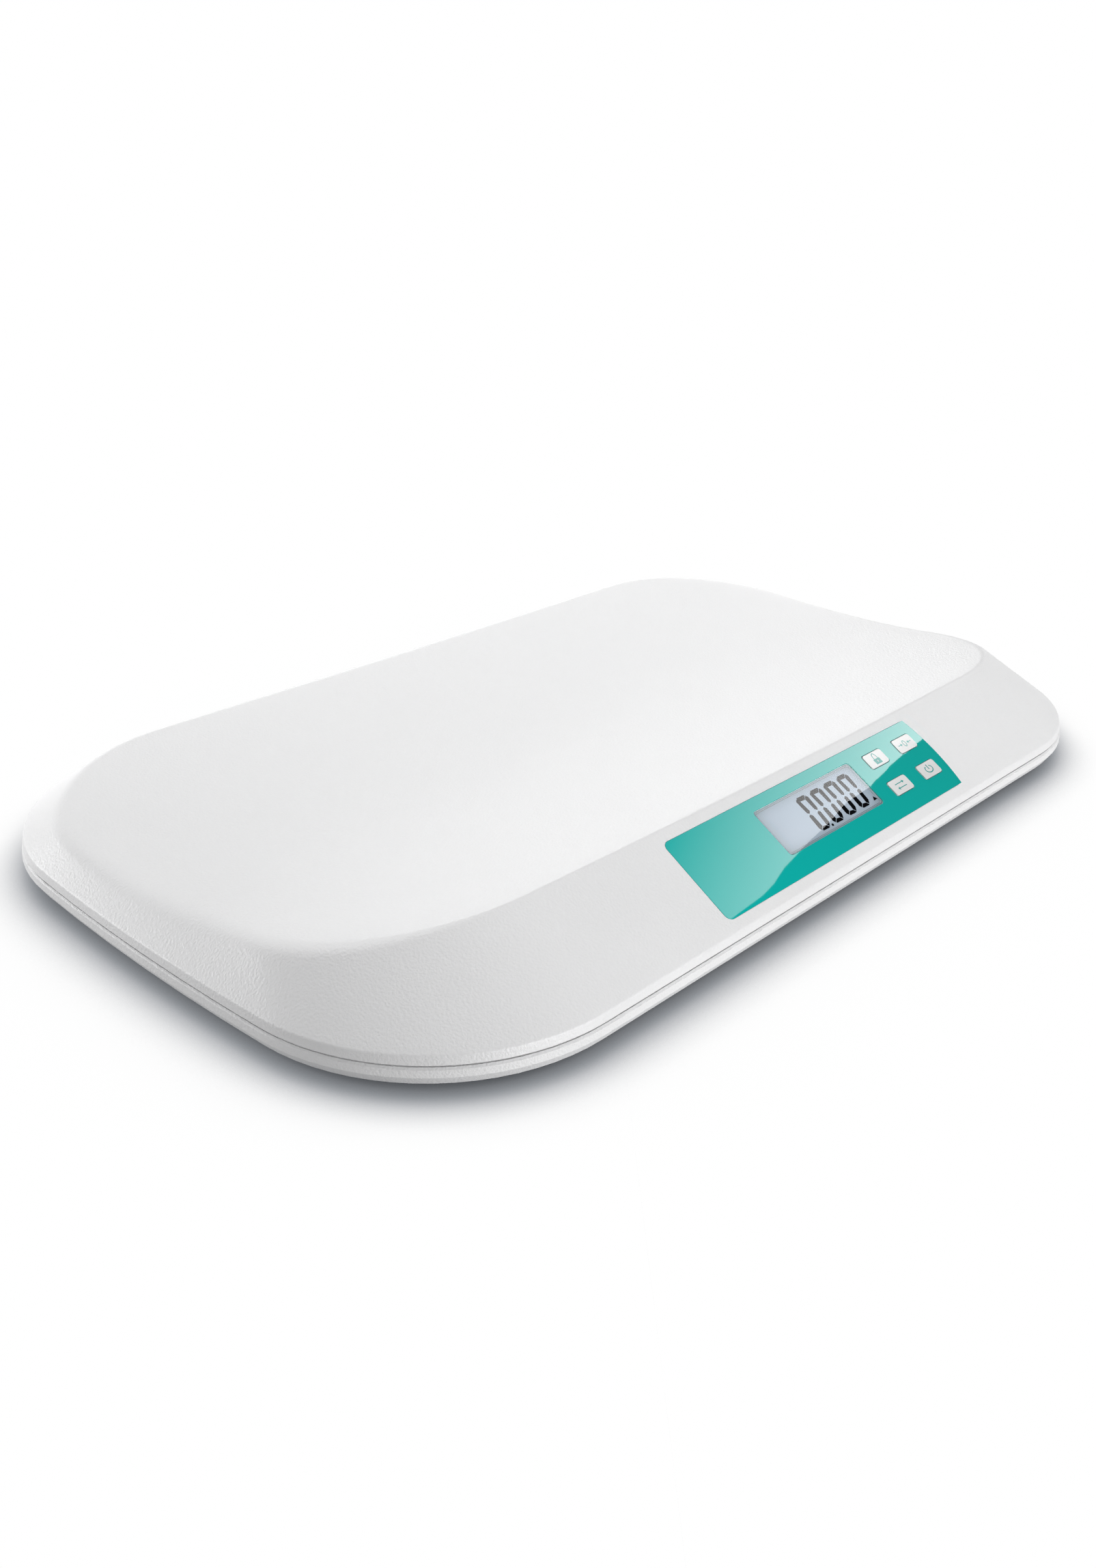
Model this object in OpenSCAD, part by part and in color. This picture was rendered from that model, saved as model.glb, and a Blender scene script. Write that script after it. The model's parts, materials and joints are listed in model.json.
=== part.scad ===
// Digital baby weighing scale: a moulded cradle on four load-cell feet.
// Millimetres. +X runs along the length, +Z is up, and the keys face the front, -Y.
// The origin is under the middle of the scale, on the surface that it stands on.

/* [Housing outline] */
// Overall length
length = 550; // [520:1:600]
// Overall depth
depth = 336; // [320:1:370]
// Radius of the four corners in plan
corner_r = 95.7; // [80:0.1:110]
// Radius of the gently bowed ends in plan
end_r = 1265; // [900:5:3000]

/* [Base shell] */
// Height of the underside above the ground
ground_gap = 5.5; // [4.5:0.1:7]
// Height of the base shell's side, up to the parting gap
base_h = 9.2; // [8.8:0.1:11]
// Thickness of the base's floor
floor_t = 2.2; // [1.8:0.1:3]
// Height of the crease low on the base's side, above the underside
base_crease_h = 5.3; // [4:0.1:7]
// How far the side leans in below that crease
base_lean = 2.8; // [1:0.1:4]
// Chamfer along the base's top edge
base_chamfer = 0.8; // [0.4:0.1:1.2]
// Thickness of the upstanding tongue inside the lip
tongue_t = 1.6; // [1.2:0.1:2]

/* [Cradle shell] */
// Width of the parting gap
part_gap = 0.8; // [0.5:0.1:1.2]
// How far the cradle's lip stands in from the base's outline
lip_inset = 0.8; // [0.5:0.1:1.2]
// Height of the lip
lip_h = 4; // [3.6:0.1:6]
// Draft of the lip over its height
lip_draft = 0.8; // [0.3:0.1:1]
// Thickness of the lip
lip_t = 2.4; // [2:0.1:3]
// Thickness of the skirt, square to its front face
skirt_t = 2.6; // [2:0.1:3]
// Thickness of the trough
trough_t = 2.5; // [2:0.1:3]
// Rise over which the skirt's insets are given
skirt_rise = 10; // [8:0.5:12]
// Inset of the front skirt over that rise
skirt_front = 17.1; // [15:0.1:19]
// Inset of the back skirt over that rise
skirt_back = 13.9; // [12:0.1:16]
// Inset of the end skirts over that rise
skirt_end = 10.9; // [9:0.1:13]
// Corner radius lost over that rise
skirt_corner = 7.1; // [5:0.1:9]
// Height of the trough's lowest line above the ground
trough_z = 29.3; // [28:0.1:33]
// How far that line lies behind the middle
trough_y = 31.5; // [15:0.5:40]
// Radius of the trough across the scale
trough_r = 626; // [560:2:720]
// Radius of the trough's slight rise along the scale
trough_long_r = 17000; // [12000:500:30000]
// Rounding of the rim at the front
rim_front = 1.4; // [0.8:0.1:3]
// Rounding of the rim at the ends
rim_end = 7; // [4:0.5:9]
// Rounding of the rim at the back
rim_back = 3; // [1:0.5:5]
// Thickness of the ribs under the trough
rib_t = 1.6; // [1.2:0.1:2]
// Depth of those ribs below the trough
rib_h = 5; // [3:0.1:5]

/* [Control panel] */
// Length of the overlay
panel_l = 196; // [185:0.5:205]
// Height of the overlay up the skirt
panel_h = 43.8; // [42:0.1:46]
// Middle of the overlay, right of the scale's middle
panel_x = 4; // [-20:0.5:20]
// Lower edge of the overlay, above the lip's crease, measured up the skirt
panel_v = 5.5; // [4:0.1:7]
// Corner radius of the overlay
panel_r = 3.5; // [2:0.1:5]
// Radius of the overlay's bowed right edge
panel_bow_r = 96; // [70:1:150]
// Thickness of the overlay
overlay_t = 0.6; // [0.4:0.05:0.8]
// Depth of the seat for the overlay
seat_d = 0.5; // [0.3:0.05:0.7]
// Clearance round the overlay in its seat
seat_gap = 0.15; // [0.1:0.05:0.3]

/* [Display] */
// Length of the display window
window_l = 77.2; // [70:0.1:80]
// Height of the display window
window_h = 26.2; // [24:0.1:28]
// Middle of the window along the scale
window_x = 2.1; // [-6:0.1:4]
// Middle of the window up the skirt
window_v = 29.8; // [28:0.1:31]
// Ledge under the window's edge
window_ledge = 1; // [0.6:0.1:1.5]
// Thickness of the display glass
glass_t = 2.6; // [2:0.1:3]
// Thickness of the light guide behind the glass
light_t = 2.2; // [1.5:0.1:2.4]
// Wall of the display's frame
frame_wall = 3; // [2:0.1:3.5]
// Width of the rubber connectors beside the light guide
zebra_w = 1.8; // [1.2:0.1:2.2]

/* [Keys] */
// Width of a key
key_w = 15.6; // [13:0.1:17]
// Height of a key up the skirt
key_h = 8.4; // [7:0.1:10]
// Corner radius of a key
key_r = 1.5; // [0.8:0.1:2]
// Middle of the left column of keys along the scale
key_x = 59.8; // [58:0.1:63]
// Spacing of the two columns
key_pitch_x = 26.7; // [24:0.1:28]
// Middle of the lower row up the skirt
key_v = 20; // [19.5:0.1:22]
// Spacing of the two rows
key_pitch_v = 17.8; // [15:0.1:19]
// Height of the keys above the overlay
key_proud = 0.35; // [0.2:0.05:0.8]
// Clearance round a key
key_gap = 0.2; // [0.15:0.05:0.3]
// Travel of a key
key_travel = 0.6; // [0.4:0.05:0.8]
// Width of the flange that keeps a key in
key_flange = 1.2; // [0.8:0.1:1.6]
// Thickness of that flange
key_flange_t = 0.9; // [0.6:0.1:1.2]
// Diameter of a key's post
key_post_d = 5.6; // [5:0.1:6.5]
// Diameter of the contact pill
pill_d = 4.4; // [3:0.1:4.6]
// Thickness of the contact pill
pill_t = 1; // [0.8:0.1:1.2]

/* [Circuit board] */
// Depth of the board's top below the skirt's face
board_w = 8; // [7.8:0.1:9]
// Thickness of the board
board_t = 1.6; // [1:0.1:2]
// Height of the board up the skirt
board_h = 36; // [34:0.5:38]
// Diameter of the bosses that carry the board
board_boss_d = 5; // [4.5:0.1:6]
// Diameter of the board's screws
board_screw_d = 2; // [1.8:0.1:2.4]
// Thickness of the silicone mat
mat_t = 0.9; // [0.6:0.1:1.2]

/* [Feet and load cells] */
// Distance of the feet's middles from the housing's ends
foot_from_end = 70; // [63:1:80]
// Distance of the feet's middles from the housing's front and back
foot_from_side = 60; // [57:1:72]
// Diameter of a foot
foot_d = 28; // [24:0.5:30]
// Radial clearance of a foot in its guide
foot_fit = 0.08; // [0.05:0.01:0.1]
// Travel of a foot as its load cell bends
foot_travel = 0.6; // [0.4:0.1:0.8]
// Diameter of a foot's rubber pad
pad_d = 22; // [18:0.5:23]
// Thickness of a foot's rubber pad
pad_t = 1.8; // [1.4:0.1:2.2]
// Side of a load-cell carrier
carrier_w = 48; // [47:0.5:52]
// Side of a load cell
cell_w = 37; // [36:0.5:38]
// Thickness of a load cell
cell_t = 1.2; // [1:0.1:1.6]
// Length of a cell's middle tongue
beam_l = 16; // [14:0.5:18]
// Width of a cell's middle tongue
beam_w = 10; // [9:0.5:12]

/* [Battery compartment] */
// Middle of the compartment, behind the scale's middle
battery_y = 40; // [35:1:50]
// Diameter of a cell
aaa_d = 10.5; // [10:0.1:11]
// Length of a cell with its nub
aaa_l = 44.5; // [43:0.1:45]
// Spacing of the cells
aaa_pitch = 11.2; // [11.1:0.1:12]
// Wall of the battery box
box_wall = 1.6; // [1.2:0.1:2]
// Width of the battery box's flange
box_flange = 9; // [8:0.1:10]
// Thickness of the cover
cover_t = 2; // [1.6:0.1:2]
// Clearance round the cover
cover_gap = 0.3; // [0.2:0.05:0.5]
// Diameter of the hinge knuckles
knuckle_d = 2.8; // [2.4:0.1:3]
// Radial clearance of the hinge knuckles
knuckle_fit = 0.06; // [0.04:0.01:0.1]

/* [Fasteners] */
// Diameter of the case screws
case_screw_d = 2.9; // [2.5:0.1:3.5]
// Diameter of the case screws' heads
case_head_d = 6; // [5:0.1:6.5]
// Clearance round a screw in its hole
screw_gap = 0.05; // [0.03:0.01:0.1]
// Diameter of the bosses in the cradle
cradle_boss_d = 8; // [7:0.1:9]
// Diameter of the bosses in the base
base_boss_d = 10; // [9:0.1:12]

/* [Hidden] */
eps = 0.01;

// Points per quarter of a housing ring: on the bowed end, the corner and the straight side.
end_n = 3;
corner_n = 18;
side_n = 3;
quarter_n = end_n + corner_n + side_n;

// Heights of the housing's main levels.
floor_z = ground_gap + floor_t;
base_top = ground_gap + base_h;
lip_z = base_top + part_gap;
crease_z = lip_z + lip_h;
crease_inset = lip_inset + lip_draft;
tongue_gap = 0.2;
tongue_inset = lip_inset + lip_t + tongue_gap;

// The front skirt's slope, and the frame of the panel that lies in it.
skirt_a = atan2(skirt_rise, skirt_front);
panel_y = crease_inset - depth / 2;
skirt_drop = skirt_t / cos(skirt_a);

// Depths below the skirt's face, along the panel's inward normal.
window_in = seat_d;
glass_gap = 0.05;
glass_top = -window_in - glass_gap;
light_top = glass_top - glass_t - glass_gap;
opening_l = window_l - 2 * window_ledge;
opening_h = window_h - 2 * window_ledge;
glass_l = opening_l - 2 * key_gap;
glass_h = opening_h - 2 * key_gap;
light_h = glass_h - 2 * zebra_w - 4 * key_gap;
frame_l = opening_l + 2 * frame_wall;
frame_h = opening_h + 2 * frame_wall;

// The board runs from a boss beside the frame to a boss beside the keys.
board_margin = 3.6;
board_boss_x = [
    window_x - frame_l / 2 - board_margin,
    key_x + key_pitch_x + key_w / 2 + key_flange + board_margin
];
board_v = panel_v + 3;
board_boss_v = [board_v + board_margin, board_v + board_h - board_margin];
board_x0 = board_boss_x[0] - board_margin;
board_l = board_boss_x[1] + board_margin - board_x0;
board_under = -board_w - board_t;

// Keys: [column, row] in the panel.
LOCK = [0, 1];
ZERO = [1, 1];
SWAP = [0, 0];
POWER = [1, 0];
KEYS = [LOCK, ZERO, SWAP, POWER];
key_flange_gap = 0.1;
key_flange_top = -skirt_t - key_flange_gap;
pill_end = -board_w + key_travel + 0.05;
pill_recess = 0.5;

// Feet: [side along X, side along Y].
foot_x = length / 2 - foot_from_end;
foot_y = depth / 2 - foot_from_side;
FL = [-1, -1];
FR = [1, -1];
BL = [-1, 1];
BR = [1, 1];
FEET = [FL, FR, BL, BR];
pad_recess = 0.8;
foot_z = pad_t - pad_recess;
foot_lip = 1.4;
foot_lip_t = 1.3;
foot_lip_z = floor_z + 1.2;
foot_top = foot_lip_z + foot_lip_t;
chamber_gap = 0.4;
chamber_d = foot_d + 2 * foot_lip + 2 * chamber_gap;
cell_z = foot_top + foot_travel + 0.8;
collar_d = foot_d + 5;
collar_gap = 0.3;
cell_slot = 1;
cell_corner = 6;
carrier_r = 6;
lug_t = 2;
lug_at = carrier_w / 2 - 4;
lug_boss_d = 7;
lug_z = cell_z - lug_t;
lug_screw_l = lug_z - floor_z + lug_t + 1;

// Battery compartment.
aaa_n = 4;
contact_l = 3.4;
aaa_z = floor_z + aaa_d / 2 + 0.2;
cavity_l = aaa_l + 2 * contact_l;
cavity_w = aaa_n * aaa_pitch + 1.2;
cavity_top = aaa_z + aaa_d / 2 + 0.5;
box_top = cavity_top + box_wall;
box_flange_t = 1.5;
cover_l = cavity_l + 8;
cover_w = cavity_w + 6;
cover_top = ground_gap + cover_t;
hinge_x = cover_l / 2 - knuckle_d / 2;
hinge_z = ground_gap + knuckle_d / 2;
knuckle_w = 8;
knuckle_y = cover_w / 2 - 10;
clip_wall = 1.5;
clip_drop = 0.6;
latch_w = 10;
latch_t = 1.4;
latch_h = 2.6;
latch_x = 1.8 - cover_l / 2;
stake_d = 3;
stake_at = [cavity_l / 2 + box_flange - 2.4, cavity_w / 2 + box_flange - 2.4];
nub_d = 3.8;
nub_l = 0.9;
spring_turns = 3;
spring_steps = 10;
spring_wire_d = 0.6;
spring_d = 6.4;

// Case screws: places in plan, and where the two shells' bosses meet.
case_from_end = 40;
case_front_in = [125, 62];
case_back_in = [145, 46];
case_end = length / 2 - case_from_end;
case_front = [length / 2 - case_front_in[0], case_front_in[1] - depth / 2];
case_back = [length / 2 - case_back_in[0], depth / 2 - case_back_in[1]];
CASE = [
    [-case_end, 0], [case_end, 0], [-case_front[0], case_front[1]], case_front,
    [-case_back[0], case_back[1]], case_back
];
boss_meet_z = floor_z + 4.3;
case_head_t = 1.8;
case_seat_z = boss_meet_z - 3;
case_screw_l = 12;

// One quarter ring, from the middle of the right end to the middle of the back.
function corner_c(a, b, re, r) = [a - re + sqrt((re - r) * (re - r) - (b - r) * (b - r)), b - r];
function quarter_pt(j, a, b, re, r) =
    let (c = corner_c(a, b, re, r), turn = atan2(c[1], c[0] - a + re))
    j <= end_n
        ? let (t = turn * j / end_n) [a - re + re * cos(t), re * sin(t)]
    : j <= end_n + corner_n
        ? let (t = turn + (90 - turn) * (j - end_n) / corner_n) c + r * [cos(t), sin(t)]
    : [c[0] * (quarter_n - j) / side_n, b];

// Point k of a whole ring, mirrored from the quarter.
function ring_pt(k, a, b, re, r) =
    let (q = floor(k / quarter_n), j = k - q * quarter_n)
    let (p = quarter_pt(q % 2 == 0 ? j : quarter_n - j, a, b, re, r))
    [p[0] * (q == 1 || q == 2 ? -1 : 1), p[1] * (q > 1 ? -1 : 1)];

ring_n = 4 * quarter_n;
RING = [for (k = [0:ring_n - 1]) k];

// The housing's outline, drawn in by some inset, as a flat ring at a height.
function outline(inset, z) = [
    for (k = RING)
    let (p = ring_pt(k, length / 2 - inset, depth / 2 - inset, end_r - inset, corner_r - inset))
    [p[0], p[1], z]
];

// The skirt is ruled between the lip's crease and a ring one skirt_rise higher.
flat_end_r = 1e5;
crease_ring = outline(crease_inset, crease_z);
upper_ring = [
    for (k = RING)
    let (
        a = length / 2 - crease_inset - skirt_end,
        b = depth / 2 - crease_inset - (skirt_front + skirt_back) / 2,
        p = ring_pt(k, a, b, flat_end_r, corner_r - crease_inset - skirt_corner)
    )
    [p[0], p[1] + (skirt_front - skirt_back) / 2, crease_z + skirt_rise]
];

// Height of the trough's face at a place in plan.
function trough_at(p) =
    trough_z + (p[1] - trough_y) * (p[1] - trough_y) / (2 * trough_r) + p[0] * p[0] / (2 * trough_long_r);

// How far up its ruling line the skirt meets the trough, for a skirt and a trough lowered by given drops.
function rim_at(k, skirt_low, trough_low) =
    let (
        o = crease_ring[k],
        d = upper_ring[k] - o,
        a = d[1] * d[1] / (2 * trough_r) + d[0] * d[0] / (2 * trough_long_r),
        b = (o[1] - trough_y) * d[1] / trough_r + o[0] * d[0] / trough_long_r - d[2],
        c = trough_at(o) - trough_low - o[2] + skirt_low
    )
    2 * c / (sqrt(b * b - 4 * a * c) - b);
function skirt_pt(k, t) = crease_ring[k] + t * (upper_ring[k] - crease_ring[k]);

// Rounding of the rim: crisp at the front, soft at the ends, between them at the back.
function smooth(t) = t * t * (3 - 2 * t);
function rim_round(k) =
    let (
        q = floor(k / quarter_n),
        j = q % 2 == 0 ? k - q * quarter_n : quarter_n - k + q * quarter_n,
        t = min(1, max(0, (j - end_n) / corner_n)),
        side = q < 2 ? rim_back : rim_front
    )
    rim_end + (side - rim_end) * smooth(t);

// Middle of the trough, which its rings close on.
rim_front_y = skirt_pt(3 * quarter_n, rim_at(3 * quarter_n, 0, 0))[1];
rim_back_y = skirt_pt(quarter_n, rim_at(quarter_n, 0, 0))[1];
trough_mid = [0, (rim_front_y + rim_back_y) / 2];
function toward_mid(p, share) =
    let (q = trough_mid + share * ([p[0], p[1]] - trough_mid)) [q[0], q[1], trough_at(q)];
function rim_inner(k) =
    let (
        rim = skirt_pt(k, rim_at(k, 0, 0)),
        out = norm([rim[0], rim[1]] - trough_mid)
    )
    toward_mid(rim, 1 - rim_round(k) / out);
function rim_blend(k, u) =
    let (
        t = rim_at(k, 0, 0),
        rim = skirt_pt(k, t),
        low = skirt_pt(k, t - rim_round(k) / norm(upper_ring[k] - crease_ring[k]))
    )
    (1 - u) * (1 - u) * low + 2 * u * (1 - u) * rim + u * u * rim_inner(k);

// Rings of the cradle, from the middle of its underside out to the lip and back over the top.
trough_shares = [0.22, 0.44, 0.64, 0.8, 0.92];
rim_steps = [0, 0.25, 0.5, 0.75, 1];
inner_start = lip_inset + lip_t - crease_inset;
function lowered(p, drop) = [p[0], p[1], p[2] - drop];
function inner_rim(k) = lowered(skirt_pt(k, rim_at(k, skirt_drop, trough_t)), skirt_drop);
function inner_trough(k, share) = lowered(toward_mid(inner_rim(k), share), trough_t);
function inner_lip(k) =
    let (d = upper_ring[k] - crease_ring[k])
    lowered(skirt_pt(k, inner_start / norm([d[0], d[1]])), skirt_drop);
cradle_rings = concat(
    [for (s = [0.35, 0.7]) [for (k = RING) inner_trough(k, s)]],
    [[for (k = RING) inner_rim(k)]],
    [[for (k = RING) inner_lip(k)]],
    [[for (k = RING) let (p = inner_lip(k)) [p[0], p[1], lip_z]]],
    [outline(lip_inset, lip_z), crease_ring],
    [for (u = rim_steps) [for (k = RING) rim_blend(k, u)]],
    [for (i = [len(trough_shares) - 1:-1:0]) [for (k = RING) toward_mid(rim_inner(k), trough_shares[i])]]
);
cradle_under = [trough_mid[0], trough_mid[1], trough_at(trough_mid) - trough_t];
cradle_top = [trough_mid[0], trough_mid[1], trough_at(trough_mid)];

// Rings of the base, from the middle of its underside out to the edge and back over the tongue.
cove = 1.6;
base_edge = lip_inset + base_chamfer / 2;
tongue_top = lip_z + 1.4;
base_rings = [
    outline(base_lean + 1.7, ground_gap),
    outline(base_lean, ground_gap + 0.9),
    outline(0, ground_gap + base_crease_h),
    outline(base_edge - base_chamfer, base_top - base_chamfer),
    outline(base_edge, base_top),
    outline(tongue_inset, base_top),
    outline(tongue_inset, tongue_top),
    outline(tongue_inset + tongue_t, tongue_top),
    outline(tongue_inset + tongue_t, floor_z + cove),
    outline(tongue_inset + tongue_t + cove, floor_z)
];

// A closed skin over a run of rings, each end closed on one point.
module skin(first, rings, last) {
    n = len(rings[0]);
    m = len(rings);
    points = concat([first], [for (r = rings) for (p = r) p], [last]);
    function at(i, k) = 1 + i * n + k % n;
    polyhedron(points, concat(
        [for (k = [0:n - 1]) [0, at(0, k), at(0, k + 1)]],
        [for (i = [0:m - 2], k = [0:n - 1]) [at(i, k), at(i + 1, k), at(i + 1, k + 1)]],
        [for (i = [0:m - 2], k = [0:n - 1]) [at(i, k), at(i + 1, k + 1), at(i, k + 1)]],
        [for (k = [0:n - 1]) [len(points) - 1, at(m - 1, k + 1), at(m - 1, k)]]
    ));
}

// A tube swept along a route, with one ring of sides at each point.
function unit(v) = v / norm(v);
function route_dir(r, i) = unit(r[min(i + 1, len(r) - 1)] - r[max(i - 1, 0)]);
function tube_ring(r, i, d) =
    let (
        t = route_dir(r, i),
        side = unit(cross(t, abs(t[2]) > 0.8 ? [0, 1, 0] : [0, 0, 1])),
        up = cross(side, t)
    )
    [for (s = [0:7]) r[i] + d / 2 * (cos(45 * s) * side + sin(45 * s) * up)];
module tube(route, d) {
    skin(route[0], [for (i = [0:len(route) - 1]) tube_ring(route, i, d)], route[len(route) - 1]);
}

// Puts what it holds into the panel's frame: x along it, y up the skirt, z out of its face.
module in_panel() {
    translate([0, panel_y, crease_z]) rotate([skirt_a, 0, 0]) children();
}
function from_panel(p) = [
    p[0],
    panel_y + p[1] * cos(skirt_a) - p[2] * sin(skirt_a),
    crease_z + p[1] * sin(skirt_a) + p[2] * cos(skirt_a)
];

// A flat rectangle with round corners, about its middle.
module rounded(l, h, r) {
    square([l - 2 * r, h], center = true);
    square([l, h - 2 * r], center = true);
    for (x = [-1, 1], y = [-1, 1]) translate([x * (l / 2 - r), y * (h / 2 - r)]) circle(r, $fn = 32);
}
module slab(l, h, r, z0, z1) {
    translate([0, 0, z0]) linear_extrude(z1 - z0) rounded(l, h, r);
}
module rod(d, z0, z1, fn = 48) {
    translate([0, 0, z0]) cylinder(h = z1 - z0, d = d, $fn = fn);
}
module box(x0, x1, y0, y1, z0, z1) {
    translate([x0, y0, z0]) cube([x1 - x0, y1 - y0, z1 - z0]);
}

// Outline of the overlay, whose right edge is bowed, grown by some clearance.
module panel_outline(grow) {
    translate([panel_x, panel_v + panel_h / 2]) intersection() {
        rounded(panel_l + 2 * grow, panel_h + 2 * grow, panel_r);
        translate([panel_l / 2 - panel_bow_r, 1]) circle(panel_bow_r + grow, $fn = 240);
    }
    translate([panel_x, panel_v + panel_h / 2]) translate([-panel_l / 4, 0])
        rounded(panel_l / 2 + 2 * grow, panel_h + 2 * grow, panel_r);
}
module at_window() {
    translate([window_x, window_v, 0]) children();
}
module at_key(k) {
    translate([key_x + k[0] * key_pitch_x, key_v + k[1] * key_pitch_v, 0]) children();
}
module at_foot(f) {
    translate([f[0] * foot_x, f[1] * foot_y, 0]) children();
}
module at_lugs() {
    for (s = [-1, 1]) translate([s * lug_at, s * lug_at, 0]) children();
}
module at_board_bosses() {
    for (x = board_boss_x, v = board_boss_v) translate([x, v, 0]) children();
}

// Ribs under the trough, along it and across it. Each follows the trough's curve.
along_ribs = [-84, -42, 0, 76, 112];
cross_ribs = [-180, -120, -60, 0, 60, 120, 180];
rib_step = 15;
module rib(points) {
    polygon(concat(
        [for (p = points) [p[0], p[1] - trough_t / 2]],
        [for (i = [len(points) - 1:-1:0]) [points[i][0], points[i][1] - trough_t - rib_h]]
    ));
}
module trough_ribs() {
    x1 = cross_ribs[len(cross_ribs) - 1];
    y0 = along_ribs[0];
    y1 = along_ribs[len(along_ribs) - 1];
    for (y = along_ribs) translate([0, y + rib_t / 2, 0]) rotate([90, 0, 0]) linear_extrude(rib_t)
        rib([for (x = [-x1, 0, x1]) [x, trough_at([x, y])]]);
    for (x = cross_ribs) translate([x - rib_t / 2, 0, 0]) rotate([90, 0, 90]) linear_extrude(rib_t)
        rib([for (i = [0:rib_step]) let (y = y0 + (y1 - y0) * i / rib_step) [y, trough_at([x, y])]]);
}

// Housing
module top_tray() {
    color("white") difference() {
        union() {
            difference() {
                skin(cradle_under, cradle_rings, cradle_top);
                in_panel() {
                    translate([0, 0, -seat_d]) linear_extrude(skirt_t) panel_outline(seat_gap);
                    at_window() slab(opening_l, opening_h, 1, -2 * skirt_t, skirt_t);
                    for (k = KEYS) at_key(k)
                        slab(key_w + 2 * key_gap, key_h + 2 * key_gap, key_r, -2 * skirt_t, skirt_t);
                }
            }
            trough_ribs();
            for (p = CASE) translate(p) rod(cradle_boss_d, boss_meet_z, trough_at(p) - trough_t / 2);
            in_panel() at_board_bosses() rod(board_boss_d, -board_w, -skirt_t / 2 - seat_d / 2, 32);
        }
        for (p = CASE) translate(p)
            rod(case_screw_d + 2 * screw_gap, boss_meet_z - 1, case_seat_z + case_screw_l + 1);
        in_panel() at_board_bosses() rod(board_screw_d + 2 * screw_gap, -board_w - 1, -skirt_t - 0.5, 32);
    }
}

module base_shell() {
    color("white") difference() {
        union() {
            skin([0, 0, ground_gap], base_rings, [0, 0, floor_z]);
            for (p = CASE) translate(p) rod(base_boss_d, floor_z - floor_t / 2, boss_meet_z);
            for (f = FEET) at_foot(f) at_lugs() rod(lug_boss_d, floor_z - floor_t / 2, lug_z, 32);
            translate([0, battery_y, 0]) for (x = [-1, 1], y = [-1, 1])
                translate([x * stake_at[0], y * stake_at[1], 0])
                    rod(stake_d, floor_z - floor_t / 2, floor_z + box_flange_t + 1, 32);
        }
        for (p = CASE) translate(p) {
            rod(case_screw_d + 0.6, ground_gap - 1, boss_meet_z + 1);
            rod(case_head_d + 0.6, ground_gap - 1, case_seat_z);
        }
        for (f = FEET) at_foot(f) {
            rod(collar_d + 2 * collar_gap, ground_gap - 1, floor_z + 1);
            at_lugs() rod(case_screw_d + 2 * screw_gap, floor_z - 1, lug_z + 1, 32);
        }
        translate([0, battery_y, 0])
            box(-cover_l / 2 - cover_gap, cover_l / 2 + cover_gap + clip_wall,
                -cover_w / 2 - cover_gap, cover_w / 2 + cover_gap, ground_gap - 1, floor_z + 1);
    }
}

// Panel and display
module control_overlay() {
    color("lightseagreen") in_panel() translate([0, 0, -seat_d]) linear_extrude(overlay_t) difference() {
        panel_outline(0);
        at_window() rounded(window_l + 2 * seat_gap, window_h + 2 * seat_gap, 2);
        for (k = KEYS) at_key(k) rounded(key_w + 2 * key_gap + 0.2, key_h + 2 * key_gap + 0.2, key_r);
    }
}

module display_window() {
    color("lightsteelblue") in_panel() at_window() slab(window_l, window_h, 2, -seat_d, overlay_t - seat_d);
}

module lcd_glass() {
    color("lavender") in_panel() at_window() slab(glass_l, glass_h, 0.8, glass_top - glass_t, glass_top);
}

module lcd_frame() {
    color("gainsboro") in_panel() at_window() difference() {
        slab(frame_l, frame_h, 2, -board_w, -skirt_t);
        slab(opening_l, opening_h, 1, -board_w - 1, -skirt_t + 1);
    }
}

module backlight_panel() {
    color("white") in_panel() at_window() slab(glass_l, light_h, 0.8, light_top - light_t, light_top);
}

module zebra_strips() {
    color("dimgray") in_panel() at_window() for (s = [-1, 1])
        translate([0, s * (glass_h - zebra_w) / 2, 0])
            box(1 - glass_l / 2, glass_l / 2 - 1, -zebra_w / 2, zebra_w / 2, -board_w, glass_top - glass_t);
}

// Circuit board
module main_pcb() {
    color("darkgreen") in_panel() difference() {
        box(board_x0, board_x0 + board_l, board_v, board_v + board_h, board_under, -board_w);
        at_board_bosses() rod(board_screw_d + 0.4, board_under - 1, 1 - board_w, 32);
    }
}

connector_l = 8;
connector_h = 5;
connector_t = 4;
connector_pitch = 16;
connector_v = board_v + board_h - connector_h - 4;
CONNECTORS = [for (i = [-2:2]) window_x + i * connector_pitch];
chip_l = 14;
chip_t = 1.6;
chip_at = [window_x - 3, board_v + 13];
converter_l = 8;
converter_h = 5;
converter_t = 1.2;
converter_at = [key_x - 6, board_v + 10.5];
capacitor_d = 5;
capacitor_t = 4;
capacitor_pitch = 10;
capacitor_at = [window_x + 29, board_v + 12];
CAPACITORS = [for (s = [-1, 1]) capacitor_at[0] + s * capacitor_pitch / 2];
buzzer_d = 10;
buzzer_t = 3;
buzzer_at = [key_x + buzzer_d, board_v + 14];
module chip(at, l, h, t) {
    translate(at) box(-l / 2, l / 2, -h / 2, h / 2, -t, 0);
}
module pcb_components() {
    color("black") in_panel() translate([0, 0, board_under]) {
        for (x = CONNECTORS)
            chip([x, connector_v + connector_h / 2], connector_l, connector_h, connector_t);
        chip(chip_at, chip_l, chip_l, chip_t);
        chip(converter_at, converter_l, converter_h, converter_t);
        for (x = CAPACITORS) translate([x, capacitor_at[1], 0]) rod(capacitor_d, -capacitor_t, 0, 32);
        translate(buzzer_at) rod(buzzer_d, -buzzer_t, 0);
    }
}

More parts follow.
